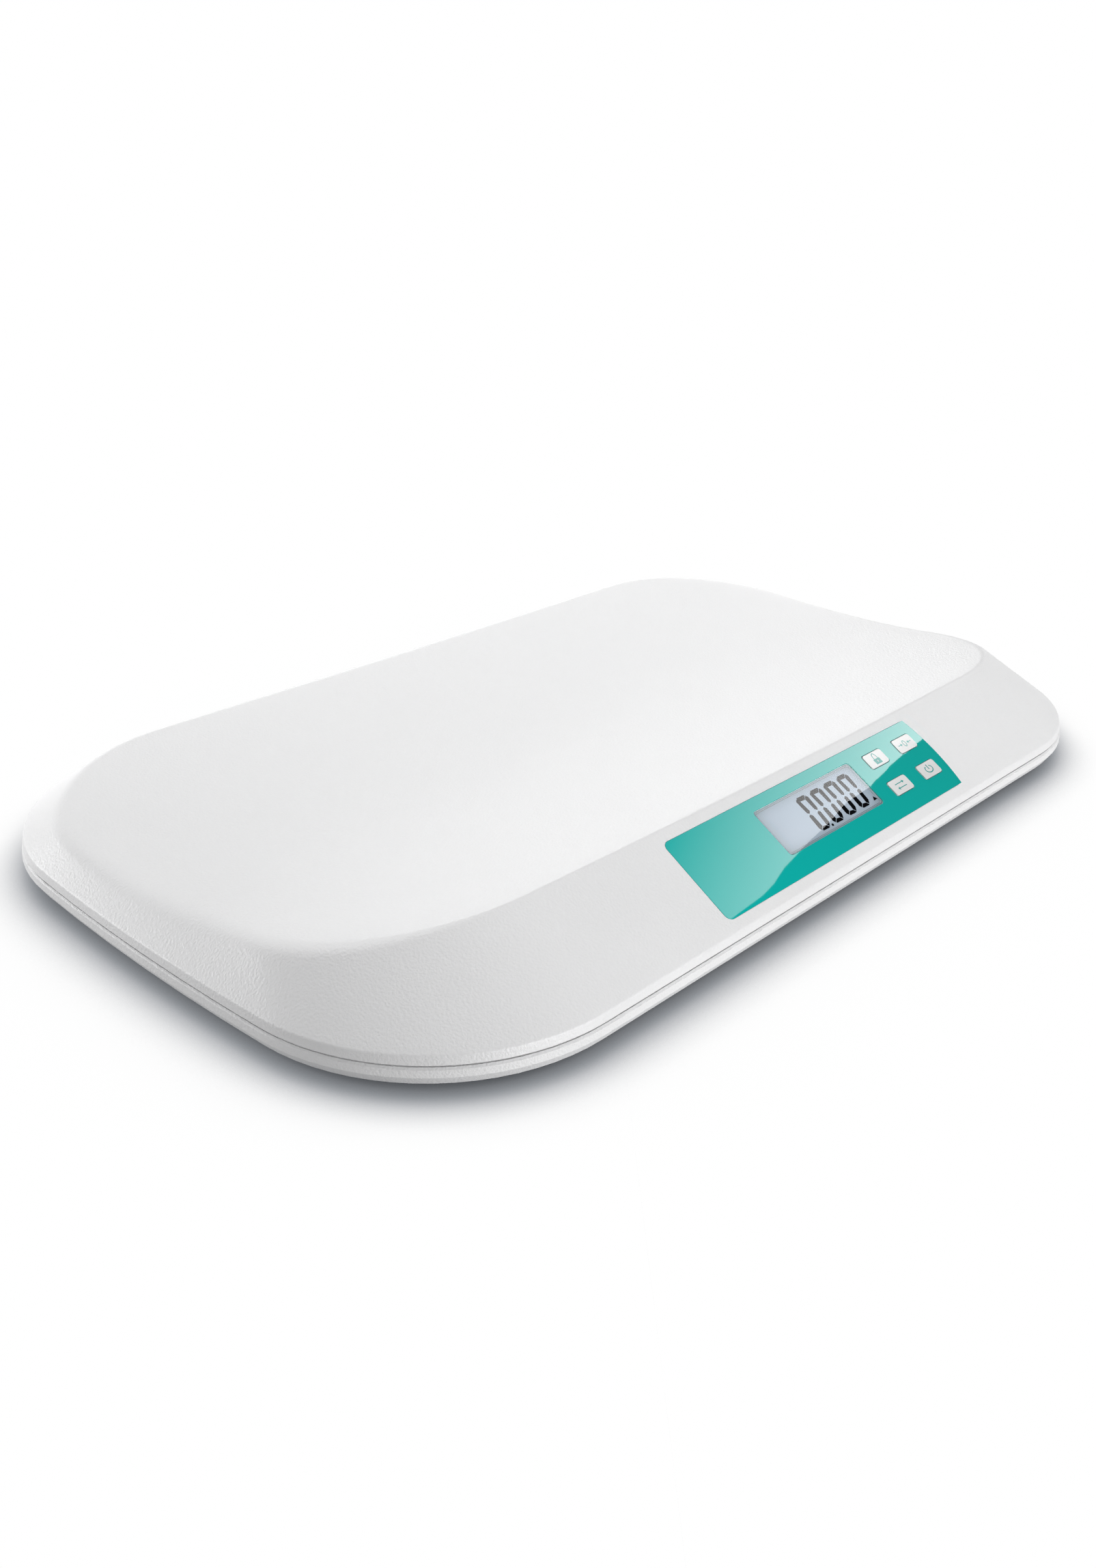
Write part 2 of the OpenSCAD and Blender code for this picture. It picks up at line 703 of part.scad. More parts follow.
// Silicone mat with a collar round each pill.
mat_edge = 3;
collar_in = 9;
mat_collar_d = 11;
module keypad_mat() {
    color("lightgray") in_panel() difference() {
        union() {
            translate([key_x + key_pitch_x / 2, key_v + key_pitch_v / 2, -board_w])
                slab(key_pitch_x + mat_collar_d + mat_edge, key_pitch_v + mat_collar_d, 2, 0, mat_t);
            for (k = KEYS) at_key(k) rod(mat_collar_d, -board_w, mat_t - board_w + 1);
        }
        for (k = KEYS) at_key(k) rod(collar_in, -board_w - 1, 0);
    }
}

// Keys
module key(k) {
    color("whitesmoke") in_panel() at_key(k) difference() {
        union() {
            slab(key_w, key_h, key_r, key_flange_top - eps, overlay_t - seat_d + key_proud);
            translate([0, 0, key_flange_top])
                slab(key_w + 2 * key_flange, key_h + 2 * key_flange, key_r, -key_flange_t, 0);
            rod(key_post_d, pill_end + pill_recess, key_flange_top - eps);
        }
        rod(pill_d + 2 * screw_gap, pill_end - 1, pill_end + pill_t);
    }
}

module key_pill(k) {
    color("black") in_panel() at_key(k) rod(pill_d, pill_end, pill_end + pill_t);
}

// Feet and load cells
module foot(f) {
    color("gainsboro") at_foot(f) difference() {
        union() {
            rod(foot_d, foot_z, foot_top, 96);
            rod(foot_d + 2 * foot_lip, foot_lip_z, foot_top, 96);
            rod(8, foot_top - eps, cell_z);
        }
        rod(pad_d + 2 * screw_gap, foot_z - 1, pad_t);
    }
}

module foot_pad(f) {
    color("dimgray") at_foot(f) rod(pad_d, 0, pad_t);
}

module cell_carrier(f) {
    color("gainsboro") at_foot(f) difference() {
        union() {
            slab(carrier_w, carrier_w, carrier_r, floor_z, cell_z);
            rod(collar_d, ground_gap, floor_z + eps, 96);
        }
        rod(foot_d + 2 * foot_fit, ground_gap - 1, cell_z + 1, 96);
        rod(chamber_d, foot_lip_z - 0.1, cell_z + 1, 96);
        at_lugs() {
            rod(lug_boss_d + 2 * collar_gap, floor_z - 1, lug_z, 32);
            rod(case_screw_d + 0.4, floor_z, cell_z + 1, 32);
        }
    }
}

module load_cell(f) {
    color("silver") at_foot(f) translate([0, 0, cell_z]) linear_extrude(cell_t) difference() {
        intersection() {
            square(cell_w, center = true);
            rotate(45) square(sqrt(2) * (cell_w - cell_corner), center = true);
        }
        square([beam_l + 2 * cell_slot, beam_w + 2 * cell_slot], center = true);
    }
}

module load_beam(f) {
    color("silver") at_foot(f)
        box(-beam_l / 2, beam_l / 2, -beam_w / 2, beam_w / 2, cell_z, cell_z + cell_t);
}

gauge_l = 7;
gauge_w = 3.4;
gauge_t = 0.3;
module strain_gauges() {
    color("sandybrown") for (f = FEET, s = [-1, 1]) at_foot(f)
        translate([0, s * (cell_w + beam_w + 2 * cell_slot) / 4, cell_z + cell_t])
            box(-gauge_l / 2, gauge_l / 2, -gauge_w / 2, gauge_w / 2, 0, gauge_t);
}

// Battery compartment
module at_knuckles() {
    for (s = [-1, 1]) translate([hinge_x, battery_y + s * knuckle_y, hinge_z]) rotate([90, 0, 0]) children();
}

module battery_box() {
    flange_l = cavity_l + 2 * box_flange;
    flange_w = cavity_w + 2 * box_flange;
    clip_x = hinge_x + knuckle_d / 2 + clip_wall;
    clip_y = knuckle_w / 2 - 1;
    color("whitesmoke") difference() {
        translate([0, battery_y, 0]) difference() {
            union() {
                slab(flange_l, flange_w, 3, floor_z, floor_z + box_flange_t);
                slab(cavity_l + 2 * box_wall, cavity_w + 2 * box_wall, 2, floor_z, box_top);
                for (s = [-1, 1]) translate([0, s * knuckle_y, 0]) {
                    box(hinge_x - 2, clip_x, -clip_y, clip_y, floor_z, hinge_z + 3.4);
                    box(hinge_x, clip_x, -clip_y, clip_y, hinge_z - clip_drop, floor_z + eps);
                }
            }
            slab(cavity_l, cavity_w, 1, floor_z - 1, cavity_top);
            translate([latch_x, 0, floor_z])
                box(-1.2, latch_t + 0.4, -latch_w / 2 - 0.5, latch_w / 2 + 0.5, -1, 4);
            for (x = [-1, 1], y = [-1, 1]) translate([x * stake_at[0], y * stake_at[1], 0])
                rod(stake_d + 2 * screw_gap, floor_z - 1, floor_z + 4, 32);
        }
        at_knuckles() rod(knuckle_d + 2 * knuckle_fit, -knuckle_w / 2 - 0.5, knuckle_w / 2 + 0.5);
    }
}

module battery_cover() {
    color("white") {
        translate([0, battery_y, 0]) {
            difference() {
                box(-cover_l / 2, hinge_x, -cover_w / 2, cover_w / 2, ground_gap, cover_top);
                translate([-cover_l / 2 + 8, 0, ground_gap - 3.4]) rotate([90, 0, 0]) rod(8, -8, 8);
            }
            box(latch_x, latch_x + latch_t, -latch_w / 2, latch_w / 2, cover_top - eps, cover_top + latch_h);
        }
        at_knuckles() rod(knuckle_d, -knuckle_w / 2, knuckle_w / 2);
    }
}

// Cells lie side by side and point opposite ways in turn.
function cell_y(i) = battery_y + (i - (aaa_n - 1) / 2) * aaa_pitch;
function cell_way(i) = i % 2 == 0 ? 1 : -1;
module at_cell(i) {
    translate([0, cell_y(i), aaa_z]) rotate([0, 90 * cell_way(i), 0]) children();
}

module aaa_cells() {
    color("goldenrod") for (i = [0:aaa_n - 1]) at_cell(i) {
        rod(aaa_d, -aaa_l / 2, aaa_l / 2 - nub_l);
        rod(nub_d, aaa_l / 2 - nub_l - eps, aaa_l / 2);
    }
}

contact_w = 8;
module battery_plates() {
    color("silver") for (i = [0:aaa_n - 1]) at_cell(i)
        slab(contact_w, contact_w, 1, aaa_l / 2 + 0.1, cavity_l / 2);
}

// Each spring is one unbroken helix that widens towards its wall.
spring_l = contact_l - spring_wire_d - 0.1;
SPRING = [
    for (i = [0:spring_turns * spring_steps])
    let (t = i / (spring_turns * spring_steps), a = 360 * spring_turns * t)
    let (r = spring_d / 2 * (0.6 + 0.4 * t))
    [r * cos(a), r * sin(a), -aaa_l / 2 - spring_wire_d / 2 - 0.05 - spring_l * t]
];
module battery_springs() {
    color("silver") for (i = [0:aaa_n - 1]) at_cell(i) tube(SPRING, spring_wire_d);
}

// Fasteners
module case_screws() {
    color("silver") for (p = CASE) translate(p) {
        rod(case_screw_d, case_seat_z - eps, case_seat_z + case_screw_l, 32);
        rod(case_head_d, case_seat_z - case_head_t, case_seat_z);
    }
}

module pcb_screws() {
    color("silver") in_panel() at_board_bosses() {
        rod(board_screw_d, board_under - eps, -skirt_t - 1, 32);
        rod(2 * board_screw_d, board_under - 1.3, board_under, 32);
    }
}

module carrier_screws() {
    color("silver") for (f = FEET) at_foot(f) at_lugs() {
        rod(case_screw_d, cell_z - lug_screw_l, cell_z + eps, 32);
        rod(2 * case_screw_d - 0.4, cell_z, cell_z + 1.6, 32);
    }
}

// Wires lie on the floor between the cells and the board's connectors.
wire_d = 1.8;
wire_low = floor_z + wire_d / 2 + 0.1;
wire_high = cell_z + wire_d / 2 + 0.1;
connector_end = connector_v + connector_h;
connector_mid = board_under - connector_t / 2;
function to_connector(i) = [
    [CONNECTORS[i], wire_front_y - 0.6 * wire_pitch, wire_low],
    from_panel([CONNECTORS[i], connector_end + 12, connector_mid]),
    from_panel([CONNECTORS[i], connector_end, connector_mid])
];
function from_cell(f) = [
    [f[0] * (foot_x - cell_w / 2), f[1] * foot_y, wire_high],
    [f[0] * (foot_x - cell_w / 2 - 8), f[1] * foot_y, wire_high],
    [f[0] * (foot_x - cell_w / 2 - 16), f[1] * (foot_y - 4), wire_low]
];
wire_turn_x = foot_x - carrier_w / 2 - 41;
wire_front_y = panel_y + 76.4;
wire_pitch = 10;
function from_front(f) = [
    [f[0] * wire_turn_x, wire_front_y, wire_low],
    [f[0] * 5.5 * wire_pitch, wire_front_y + 0.6 * wire_pitch, wire_low]
];
function from_back(f) = [
    [f[0] * wire_turn_x, battery_y + 2 * wire_pitch, wire_low],
    [f[0] * (wire_turn_x - 3 * wire_pitch), wire_front_y + 3 * wire_pitch, wire_low],
    [f[0] * 4.5 * wire_pitch, wire_front_y + 1.6 * wire_pitch, wire_low]
];
SENSOR_ROUTES = [
    concat(from_cell(FL), from_front(FL), to_connector(0)),
    concat(from_cell(BL), from_back(BL), to_connector(1)),
    concat(from_cell(BR), from_back(BR), to_connector(3)),
    concat(from_cell(FR), from_front(FR), to_connector(4))
];
module sensor_wires() {
    color("firebrick") for (r = SENSOR_ROUTES) tube(r, wire_d);
}

lead_start = battery_y - cavity_w / 2 - box_flange;
LEAD_ROUTE = concat(
    [[CONNECTORS[2], lead_start, wire_low], [CONNECTORS[2], wire_front_y + 3 * wire_pitch, wire_low]],
    to_connector(2)
);
module battery_lead() {
    color("firebrick") tube(LEAD_ROUTE, wire_d);
}

top_tray();
base_shell();
control_overlay();
display_window();
lcd_glass();
lcd_frame();
backlight_panel();
zebra_strips();
main_pcb();
pcb_components();
keypad_mat();
key(LOCK);  // key_lock
key(ZERO);  // key_zero
key(SWAP);  // key_swap
key(POWER);  // key_power
key_pill(LOCK);  // key_pill_lock
key_pill(ZERO);  // key_pill_zero
key_pill(SWAP);  // key_pill_swap
key_pill(POWER);  // key_pill_power
foot(FL);  // foot_fl
foot(FR);  // foot_fr
foot(BL);  // foot_bl
foot(BR);  // foot_br
foot_pad(FL);  // foot_pad_fl
foot_pad(FR);  // foot_pad_fr
foot_pad(BL);  // foot_pad_bl
foot_pad(BR);  // foot_pad_br
cell_carrier(FL);  // cell_carrier_fl
cell_carrier(FR);  // cell_carrier_fr
cell_carrier(BL);  // cell_carrier_bl
cell_carrier(BR);  // cell_carrier_br
load_cell(FL);  // load_cell_fl
load_cell(FR);  // load_cell_fr
load_cell(BL);  // load_cell_bl
load_cell(BR);  // load_cell_br
load_beam(FL);  // load_beam_fl
load_beam(FR);  // load_beam_fr
load_beam(BL);  // load_beam_bl
load_beam(BR);  // load_beam_br
strain_gauges();
battery_box();
battery_cover();
aaa_cells();
battery_springs();
battery_plates();
case_screws();
pcb_screws();
carrier_screws();
sensor_wires();
battery_lead();
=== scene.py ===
"""Finishes and small forms of a digital baby weighing scale, laid out as an add-on.

The cradle is lofted from the housing's outline, the panel's prints and the display's digits are
thin plates, and the other pieces are bevelled copies of the frame's nodes.
"""

import json
import math

import bmesh
import bpy
from bpy.props import FloatProperty, FloatVectorProperty, IntProperty, PointerProperty
from mathutils import Matrix, Vector

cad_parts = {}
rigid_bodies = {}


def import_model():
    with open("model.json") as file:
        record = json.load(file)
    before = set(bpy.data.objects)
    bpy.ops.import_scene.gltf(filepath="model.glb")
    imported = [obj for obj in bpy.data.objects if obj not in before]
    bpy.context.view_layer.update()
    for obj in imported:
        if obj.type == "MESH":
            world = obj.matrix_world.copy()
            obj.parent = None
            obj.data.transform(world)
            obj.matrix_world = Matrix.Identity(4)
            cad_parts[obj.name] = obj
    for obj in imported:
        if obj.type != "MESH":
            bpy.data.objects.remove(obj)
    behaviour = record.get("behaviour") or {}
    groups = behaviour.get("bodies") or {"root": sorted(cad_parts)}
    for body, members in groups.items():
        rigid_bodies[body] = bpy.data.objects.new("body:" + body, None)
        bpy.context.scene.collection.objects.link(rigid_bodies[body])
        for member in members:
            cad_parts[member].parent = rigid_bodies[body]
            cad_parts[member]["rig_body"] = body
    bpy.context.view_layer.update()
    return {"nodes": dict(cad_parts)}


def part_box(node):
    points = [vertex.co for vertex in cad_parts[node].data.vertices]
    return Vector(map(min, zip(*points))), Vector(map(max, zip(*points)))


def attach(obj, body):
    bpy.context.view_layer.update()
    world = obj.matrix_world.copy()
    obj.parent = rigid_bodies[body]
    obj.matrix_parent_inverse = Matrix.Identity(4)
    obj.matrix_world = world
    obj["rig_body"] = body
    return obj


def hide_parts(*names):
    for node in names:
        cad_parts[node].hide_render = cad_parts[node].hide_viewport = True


bl_info = {
    "name": "Baby Scale Finishes",
    "version": (1, 0, 0),
    "blender": (4, 5, 0),
    "location": "View3D > Sidebar > Scale",
    "description": "Shapes and finishes of a cradle-shaped digital weighing scale",
    "category": "Object",
}

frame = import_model()
NODES = frame["nodes"]
BASE_LOW, BASE_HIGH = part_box("base_shell")
KEY_PLACES = {"lock": (0, 1), "zero": (1, 1), "swap": (0, 0), "power": (1, 0)}
CORNERS = ("fl", "fr", "bl", "br")
MM = 0.001
PANEL_TOP = 0.1 * MM
KEY_TOP = 0.45 * MM
GLASS_TOP = -0.55 * MM
LEDGE_TOP = -0.5 * MM


# Sizes and colours ------------------------------------------------------------------------------


def size(name, description, default):
    return FloatProperty(name=name, description=description, default=default, unit="LENGTH", precision=5)


def colour(name, description, default):
    return FloatVectorProperty(
        name=name, description=description, default=default, size=3, subtype="COLOR", min=0, max=1
    )


def power(name, description, default):
    return FloatProperty(name=name, description=description, default=default, min=0, unit="POWER")


def share(name, description, default):
    return FloatProperty(name=name, description=description, default=default, min=0, max=1)


class CradleForm(bpy.types.PropertyGroup):
    length: size("Length", "Overall length of the housing", BASE_HIGH.x - BASE_LOW.x)
    depth: size("Depth", "Overall depth of the housing", BASE_HIGH.y - BASE_LOW.y)
    corner_r: size("Corner radius", "Radius of the corners in plan", 0.0957)
    end_r: size("End radius", "Radius of the bowed ends in plan", 1.265)
    lip_inset: size("Lip inset", "How far the lip stands in from the outline", 0.0008)
    lip_z: size("Lip height", "Height of the lip's lower edge", 0.0155)
    lip_t: size("Lip thickness", "Thickness of the lip", 0.0024)
    crease_inset: size("Crease inset", "How far the crease stands in from the outline", 0.0016)
    crease_z: size("Crease height", "Height of the crease between lip and skirt", 0.0195)
    crease_r: size("Crease rounding", "Length of the crease's rounding on each side", 0.0007)
    skirt_rise: size("Skirt rise", "Rise over which the insets are given", 0.010)
    skirt_front: size("Front inset", "Inset of the front skirt over the rise", 0.0171)
    skirt_back: size("Back inset", "Inset of the back skirt over the rise", 0.0139)
    skirt_end: size("End inset", "Inset of the end skirts over the rise", 0.0109)
    skirt_corner: size("Corner loss", "Corner radius lost over the rise", 0.0071)
    skirt_drop: size("Skirt thickness", "Thickness of the skirt, measured straight down", 0.00301)
    trough_t: size("Trough thickness", "Thickness of the trough", 0.0025)
    trough_z: size("Trough height", "Height of the trough's lowest line", 0.0293)
    trough_y: size("Trough offset", "How far that line lies behind the middle", 0.0315)
    trough_r: size("Trough radius", "Radius of the trough across the scale", 0.626)
    trough_long_r: size("Trough rise radius", "Radius of its slight rise along the scale", 17.0)
    rim_front: size("Front rim", "Rounding of the rim at the front", 0.0014)
    rim_end: size("End rim", "Rounding of the rim at the ends", 0.007)
    rim_back: size("Back rim", "Rounding of the rim at the back", 0.003)


class PanelForm(bpy.types.PropertyGroup):
    length: size("Length", "Length of the overlay", 0.196)
    height: size("Height", "Height of the overlay up the skirt", 0.0438)
    middle_x: size("Middle", "Middle of the overlay along the scale", 0.004)
    low_edge: size("Lower edge", "Lower edge above the crease, up the skirt", 0.0055)
    corner: size("Corner", "Corner radius of the overlay", 0.0035)
    bow_r: size("Bow", "Radius of the bowed right edge", 0.096)
    seat_depth: size("Seat depth", "Depth of the seat in the skirt", 0.0005)
    seat_gap: size("Seat gap", "Clearance round the overlay in its seat", 0.00015)
    window_x: size("Window middle", "Middle of the window along the scale", 0.0021)
    window_v: size("Window row", "Middle of the window up the skirt", 0.0298)
    window_l: size("Window length", "Length of the display window", 0.0772)
    window_h: size("Window depth", "Height of the display window up the skirt", 0.0262)
    key_x: size("Key column", "Left column of keys along the scale", 0.0598)
    key_v: size("Key row", "Lower row of keys up the skirt", 0.020)
    key_pitch_x: size("Column pitch", "Spacing of the columns", 0.0267)
    key_pitch_v: size("Row pitch", "Spacing of the rows", 0.0178)
    key_l: size("Key length", "Length of a key with its clearance", 0.016)
    key_h: size("Key height", "Height of a key with its clearance", 0.0088)


class PrintForm(bpy.types.PropertyGroup):
    digits: IntProperty(name="Digits", description="Digits that the display shows", default=4, min=1, max=4)
    film: size("Film", "Thickness of the printed plates", 0.00002)


class Finishes(bpy.types.PropertyGroup):
    housing: colour("Housing", "Moulded plastic of the housing", (0.88, 0.88, 0.885))
    key_cap: colour("Keys", "Plastic of the keys", (0.80, 0.80, 0.795))
    teal_left: colour("Overlay left", "Print colour at the overlay's left", (0.004, 0.50, 0.46))
    teal_right: colour("Overlay right", "Print colour at the overlay's right", (0.010, 0.42, 0.375))
    teal_ink: colour("Key ink", "Ink of the marks on the keys", (0.05, 0.36, 0.33))
    display: colour("Display", "Ground of the display", (0.50, 0.59, 0.69))
    # Painted shade: the darker tone that the display's ground takes towards its edges.
    display_edge_shade: colour("Display edge", "Border of the display", (0.26, 0.33, 0.38))
    segment: colour("Segments", "Dark segments of the digits", (0.004, 0.004, 0.005))
    inner: colour("Inner plastic", "Plastic of the feet and inner parts", (0.70, 0.71, 0.72))
    rubber: colour("Rubber", "Feet pads", (0.035, 0.035, 0.038))


class Studio(bpy.types.PropertyGroup):
    world: share("World", "Strength of the even light all round", 0.12)
    card: FloatProperty(name="Card", description="Radiance of the card in the overlay", default=4.0, min=0)
    bounce: share("Bounce", "Share of light that the floor sends back up", 0.4)
    overhead: power("Overhead", "Power of the lamp above and behind", 10.2)
    high_right: power("High right", "Power of the lamp high over the right end", 1.4)
    far_right: power("Far right", "Power of the lamp behind the right end", 3.1)
    low_right: power("Low right", "Power of the low lamp behind the right end", 1.9)
    low_left: power("Low left", "Power of the low lamp behind the left end", 8.4)
    low_front: power("Low front", "Power of the low lamp in front", 13.4)
    underneath: power("Underneath", "Power of the lamp that lights the underside", 6.0)


# Outline of the housing --------------------------------------------------------------------------

END_STEPS, CORNER_STEPS, SIDE_STEPS = 6, 32, 22
QUARTER = END_STEPS + CORNER_STEPS + SIDE_STEPS
RING = 4 * QUARTER
RIM_STEPS, CREASE_STEPS = 9, 5
# Where the rings lie: in the trough from its middle outwards, on the skirt from the rim down to the
# crease, and under the trough from its edge inwards.
TROUGH_SHARES = (0.02, 0.08, 0.16, 0.25, 0.34, 0.43, 0.52, 0.6, 0.68, 0.76, 0.83, 0.9, 0.95)
SKIRT_SHARES = (0.85, 0.65, 0.45, 0.25, 0.1)
UNDER_SHARES = (0.8, 0.6, 0.4, 0.2, 0.03)


def quarter_point(j, a, b, end_r, corner_r):
    cx = a - end_r + math.sqrt((end_r - corner_r) ** 2 - (b - corner_r) ** 2)
    cy = b - corner_r
    turn = math.atan2(cy, cx - a + end_r)
    if j <= END_STEPS:
        t = turn * j / END_STEPS
        return a - end_r + end_r * math.cos(t), end_r * math.sin(t)
    if j <= END_STEPS + CORNER_STEPS:
        t = turn + (math.pi / 2 - turn) * (j - END_STEPS) / CORNER_STEPS
        return cx + corner_r * math.cos(t), cy + corner_r * math.sin(t)
    return cx * (QUARTER - j) / SIDE_STEPS, b


def ring_point(k, a, b, end_r, corner_r):
    q, j = divmod(k, QUARTER)
    x, y = quarter_point(j if q % 2 == 0 else QUARTER - j, a, b, end_r, corner_r)
    return Vector((-x if q in (1, 2) else x, -y if q > 1 else y, 0))


def rounded(start, corner, end, u):
    """A point on the quadratic curve that rounds a corner."""
    return (1 - u) ** 2 * start + 2 * u * (1 - u) * corner + u * u * end


class Housing:
    """Points of the cradle's skins, from the sizes in a CradleForm."""

    def __init__(self, form):
        self.form = form
        self.crease = self.outline(form.crease_inset, form.crease_z)
        a = form.length / 2 - form.crease_inset - form.skirt_end
        b = form.depth / 2 - form.crease_inset - (form.skirt_front + form.skirt_back) / 2
        r = form.corner_r - form.crease_inset - form.skirt_corner
        shift = Vector((0, (form.skirt_front - form.skirt_back) / 2, form.crease_z + form.skirt_rise))
        self.upper = [ring_point(k, a, b, 100.0, r) + shift for k in range(RING)]
        self.rim_t = [self.meet(k, 0, 0) for k in range(RING)]
        self.rim = [self.skirt(k, self.rim_t[k]) for k in range(RING)]
        middle = (self.rim[QUARTER].y + self.rim[3 * QUARTER].y) / 2
        self.middle = Vector((0, middle, self.trough(0, middle)))

    def outline(self, inset, z):
        f = self.form
        sizes = [size - inset for size in (f.length / 2, f.depth / 2, f.end_r, f.corner_r)]
        return [ring_point(k, *sizes) + Vector((0, 0, z)) for k in range(RING)]

    def trough(self, x, y):
        f = self.form
        return f.trough_z + (y - f.trough_y) ** 2 / (2 * f.trough_r) + x * x / (2 * f.trough_long_r)

    def skirt(self, k, t):
        return self.crease[k].lerp(self.upper[k], t)

    def meet(self, k, skirt_low, trough_low):
        """How far up its ruling line the skirt meets the trough, each lowered by its own amount."""
        f, o = self.form, self.crease[k]
        d = self.upper[k] - o
        a = d.y**2 / (2 * f.trough_r) + d.x**2 / (2 * f.trough_long_r)
        b = (o.y - f.trough_y) * d.y / f.trough_r + o.x * d.x / f.trough_long_r - d.z
        c = self.trough(o.x, o.y) - trough_low - o.z + skirt_low
        return 2 * c / (math.sqrt(b * b - 4 * a * c) - b)

    def rounding(self, k):
        q, j = divmod(k, QUARTER)
        j = j if q % 2 == 0 else QUARTER - j
        t = min(1, max(0, (j - END_STEPS) / CORNER_STEPS))
        t = t * t * (3 - 2 * t)
        side = self.form.rim_back if q < 2 else self.form.rim_front
        return self.form.rim_end + (side - self.form.rim_end) * t

    def toward(self, p, share):
        q = self.middle.lerp(p, share)
        return Vector((q.x, q.y, self.trough(q.x, q.y)))

    def rim_inner(self, k):
        reach = (self.rim[k] - self.middle).xy.length
        return self.toward(self.rim[k], 1 - self.rounding(k) / reach)

    def rim_low_t(self, k):
        return self.rim_t[k] - self.rounding(k) / (self.upper[k] - self.crease[k]).length

    def rim_blend(self, k, u):
        return rounded(self.skirt(k, self.rim_low_t(k)), self.rim[k], self.rim_inner(k), u)

    def crease_blend(self, k, u):
        down = (self.crease[k] - self.lip[k]).normalized()
        up = (self.upper[k] - self.crease[k]).normalized()
        r = self.form.crease_r
        return rounded(self.crease[k] - r * down, self.crease[k], self.crease[k] + r * up, u)

    def under_rim(self, k):
        f = self.form
        p = self.skirt(k, self.meet(k, f.skirt_drop, f.trough_t))
        return p - Vector((0, 0, f.skirt_drop))

    def rings(self):
        """Rings from the middle of the trough, over the rim, down to the lip and back underneath."""
        f = self.form
        self.lip = self.outline(f.lip_inset, f.lip_z)
        every = range(RING)
        out = [[self.toward(self.rim_inner(k), s) for k in every] for s in TROUGH_SHARES]
        out += [[self.rim_blend(k, 1 - i / RIM_STEPS) for k in every] for i in range(RIM_STEPS + 1)]
        out += [[self.skirt(k, s * self.rim_low_t(k)) for k in every] for s in SKIRT_SHARES]
        out += [[self.crease_blend(k, 1 - i / CREASE_STEPS) for k in every] for i in range(CREASE_STEPS + 1)]
        out.append([self.crease[k].lerp(self.lip[k], 0.6) for k in every])
        out.append([self.lip[k] + Vector((0, 0, 0.25 * MM)) for k in every])
        start = f.lip_inset + f.lip_t - f.crease_inset
        inner_lip = [self.skirt(k, start / (self.upper[k] - self.crease[k]).xy.length) for k in every]
        lip_floor = Vector((0, 0, f.lip_z))
        out.append([self.lip[k].lerp(inner_lip[k], 0.1).xy.to_3d() + lip_floor for k in every])
        out.append([p.xy.to_3d() + lip_floor for p in inner_lip])
        out.append([p - Vector((0, 0, f.skirt_drop)) for p in inner_lip])
        under = [self.under_rim(k) for k in every]
        out.append(under)
        trough_drop = Vector((0, 0, f.trough_t))
        out += [[self.toward(under[k], s) - trough_drop for k in every] for s in UNDER_SHARES]
        return out


# Building ----------------------------------------------------------------------------------------


def new_piece(name, bm, material, body, replaces=(), sharp=35.0):
    """A mesh piece from a bmesh, shaded smooth up to an angle, riding on a body."""
    mesh = bpy.data.meshes.new(name)
    bm.to_mesh(mesh)
    bm.free()
    mesh.shade_smooth()
    mesh.set_sharp_from_angle(angle=math.radians(sharp))
    mesh.materials.append(material)
    piece = bpy.data.objects.new(name, mesh)
    bpy.context.scene.collection.objects.link(piece)
    if body:
        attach(piece, body)
    if replaces:
        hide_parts(*replaces)
    return piece


def baked(piece):
    """Applies a piece's modifiers to its mesh."""
    graph = bpy.context.evaluated_depsgraph_get()
    mesh = bpy.data.meshes.new_from_object(piece.evaluated_get(graph))
    old = piece.data
    piece.modifiers.clear()
    piece.data = mesh
    mesh.name = old.name
    bpy.data.meshes.remove(old)
    return piece


def loft(rings):
    """A closed skin over a run of rings: each is extruded from the last, and both ends close on a pole."""
    bm = bmesh.new()
    place = bm.verts.layers.int.new("place")
    bmesh.ops.create_circle(bm, segments=len(rings[0]), radius=1)
    bm.verts.ensure_lookup_table()
    for i, v in enumerate(bm.verts):
        v[place] = i
        v.co = rings[0][i]
    first = edges = list(bm.edges)
    for ring in rings[1:]:
        made = bmesh.ops.extrude_edge_only(bm, edges=edges)["geom"]
        verts = set(verts_of(made))
        for v in verts:
            v.co = ring[v[place]]
        edges = [g for g in made if isinstance(g, bmesh.types.BMEdge) and set(g.verts) <= verts]
    for loop in (first, edges):
        verts = verts_of(bmesh.ops.extrude_edge_only(bm, edges=loop)["geom"])
        middle = sum((v.co for v in verts), Vector()) / len(verts)
        bmesh.ops.pointmerge(bm, verts=verts, merge_co=middle)
    bmesh.ops.recalc_face_normals(bm, faces=bm.faces)
    return bm


# How far above a plate's middle its bowed edge stands out furthest.
BOW_RISE = 1 * MM


def plate(length, height, corner, low, high, bow_r=0):
    """A flat plate with round corners about the origin, whose right edge may be bowed."""
    bm = bmesh.new()
    bmesh.ops.create_grid(bm, x_segments=1, y_segments=1, size=0.5)
    bmesh.ops.scale(bm, vec=(length, height, 1), verts=bm.verts)
    if bow_r:
        right = [e for e in bm.edges if all(v.co.x > 0 for v in e.verts)]
        bmesh.ops.subdivide_edges(bm, edges=right, cuts=15)
        for v in bm.verts:
            if v.co.x > length / 2 - 1e-6:
                v.co.x -= bow_r - math.sqrt(bow_r**2 - (v.co.y - BOW_RISE) ** 2)
    corners = [v for v in bm.verts if abs(v.co.y) > height / 2 - 1e-6]
    bmesh.ops.bevel(bm, geom=corners, offset=corner, segments=8, profile=0.5, affect="VERTICES", material=-1)
    bmesh.ops.translate(bm, vec=(0, 0, low), verts=bm.verts)
    raise_faces(bm, high - low)
    return bm


def verts_of(geometry):
    return [g for g in geometry if isinstance(g, bmesh.types.BMVert)]


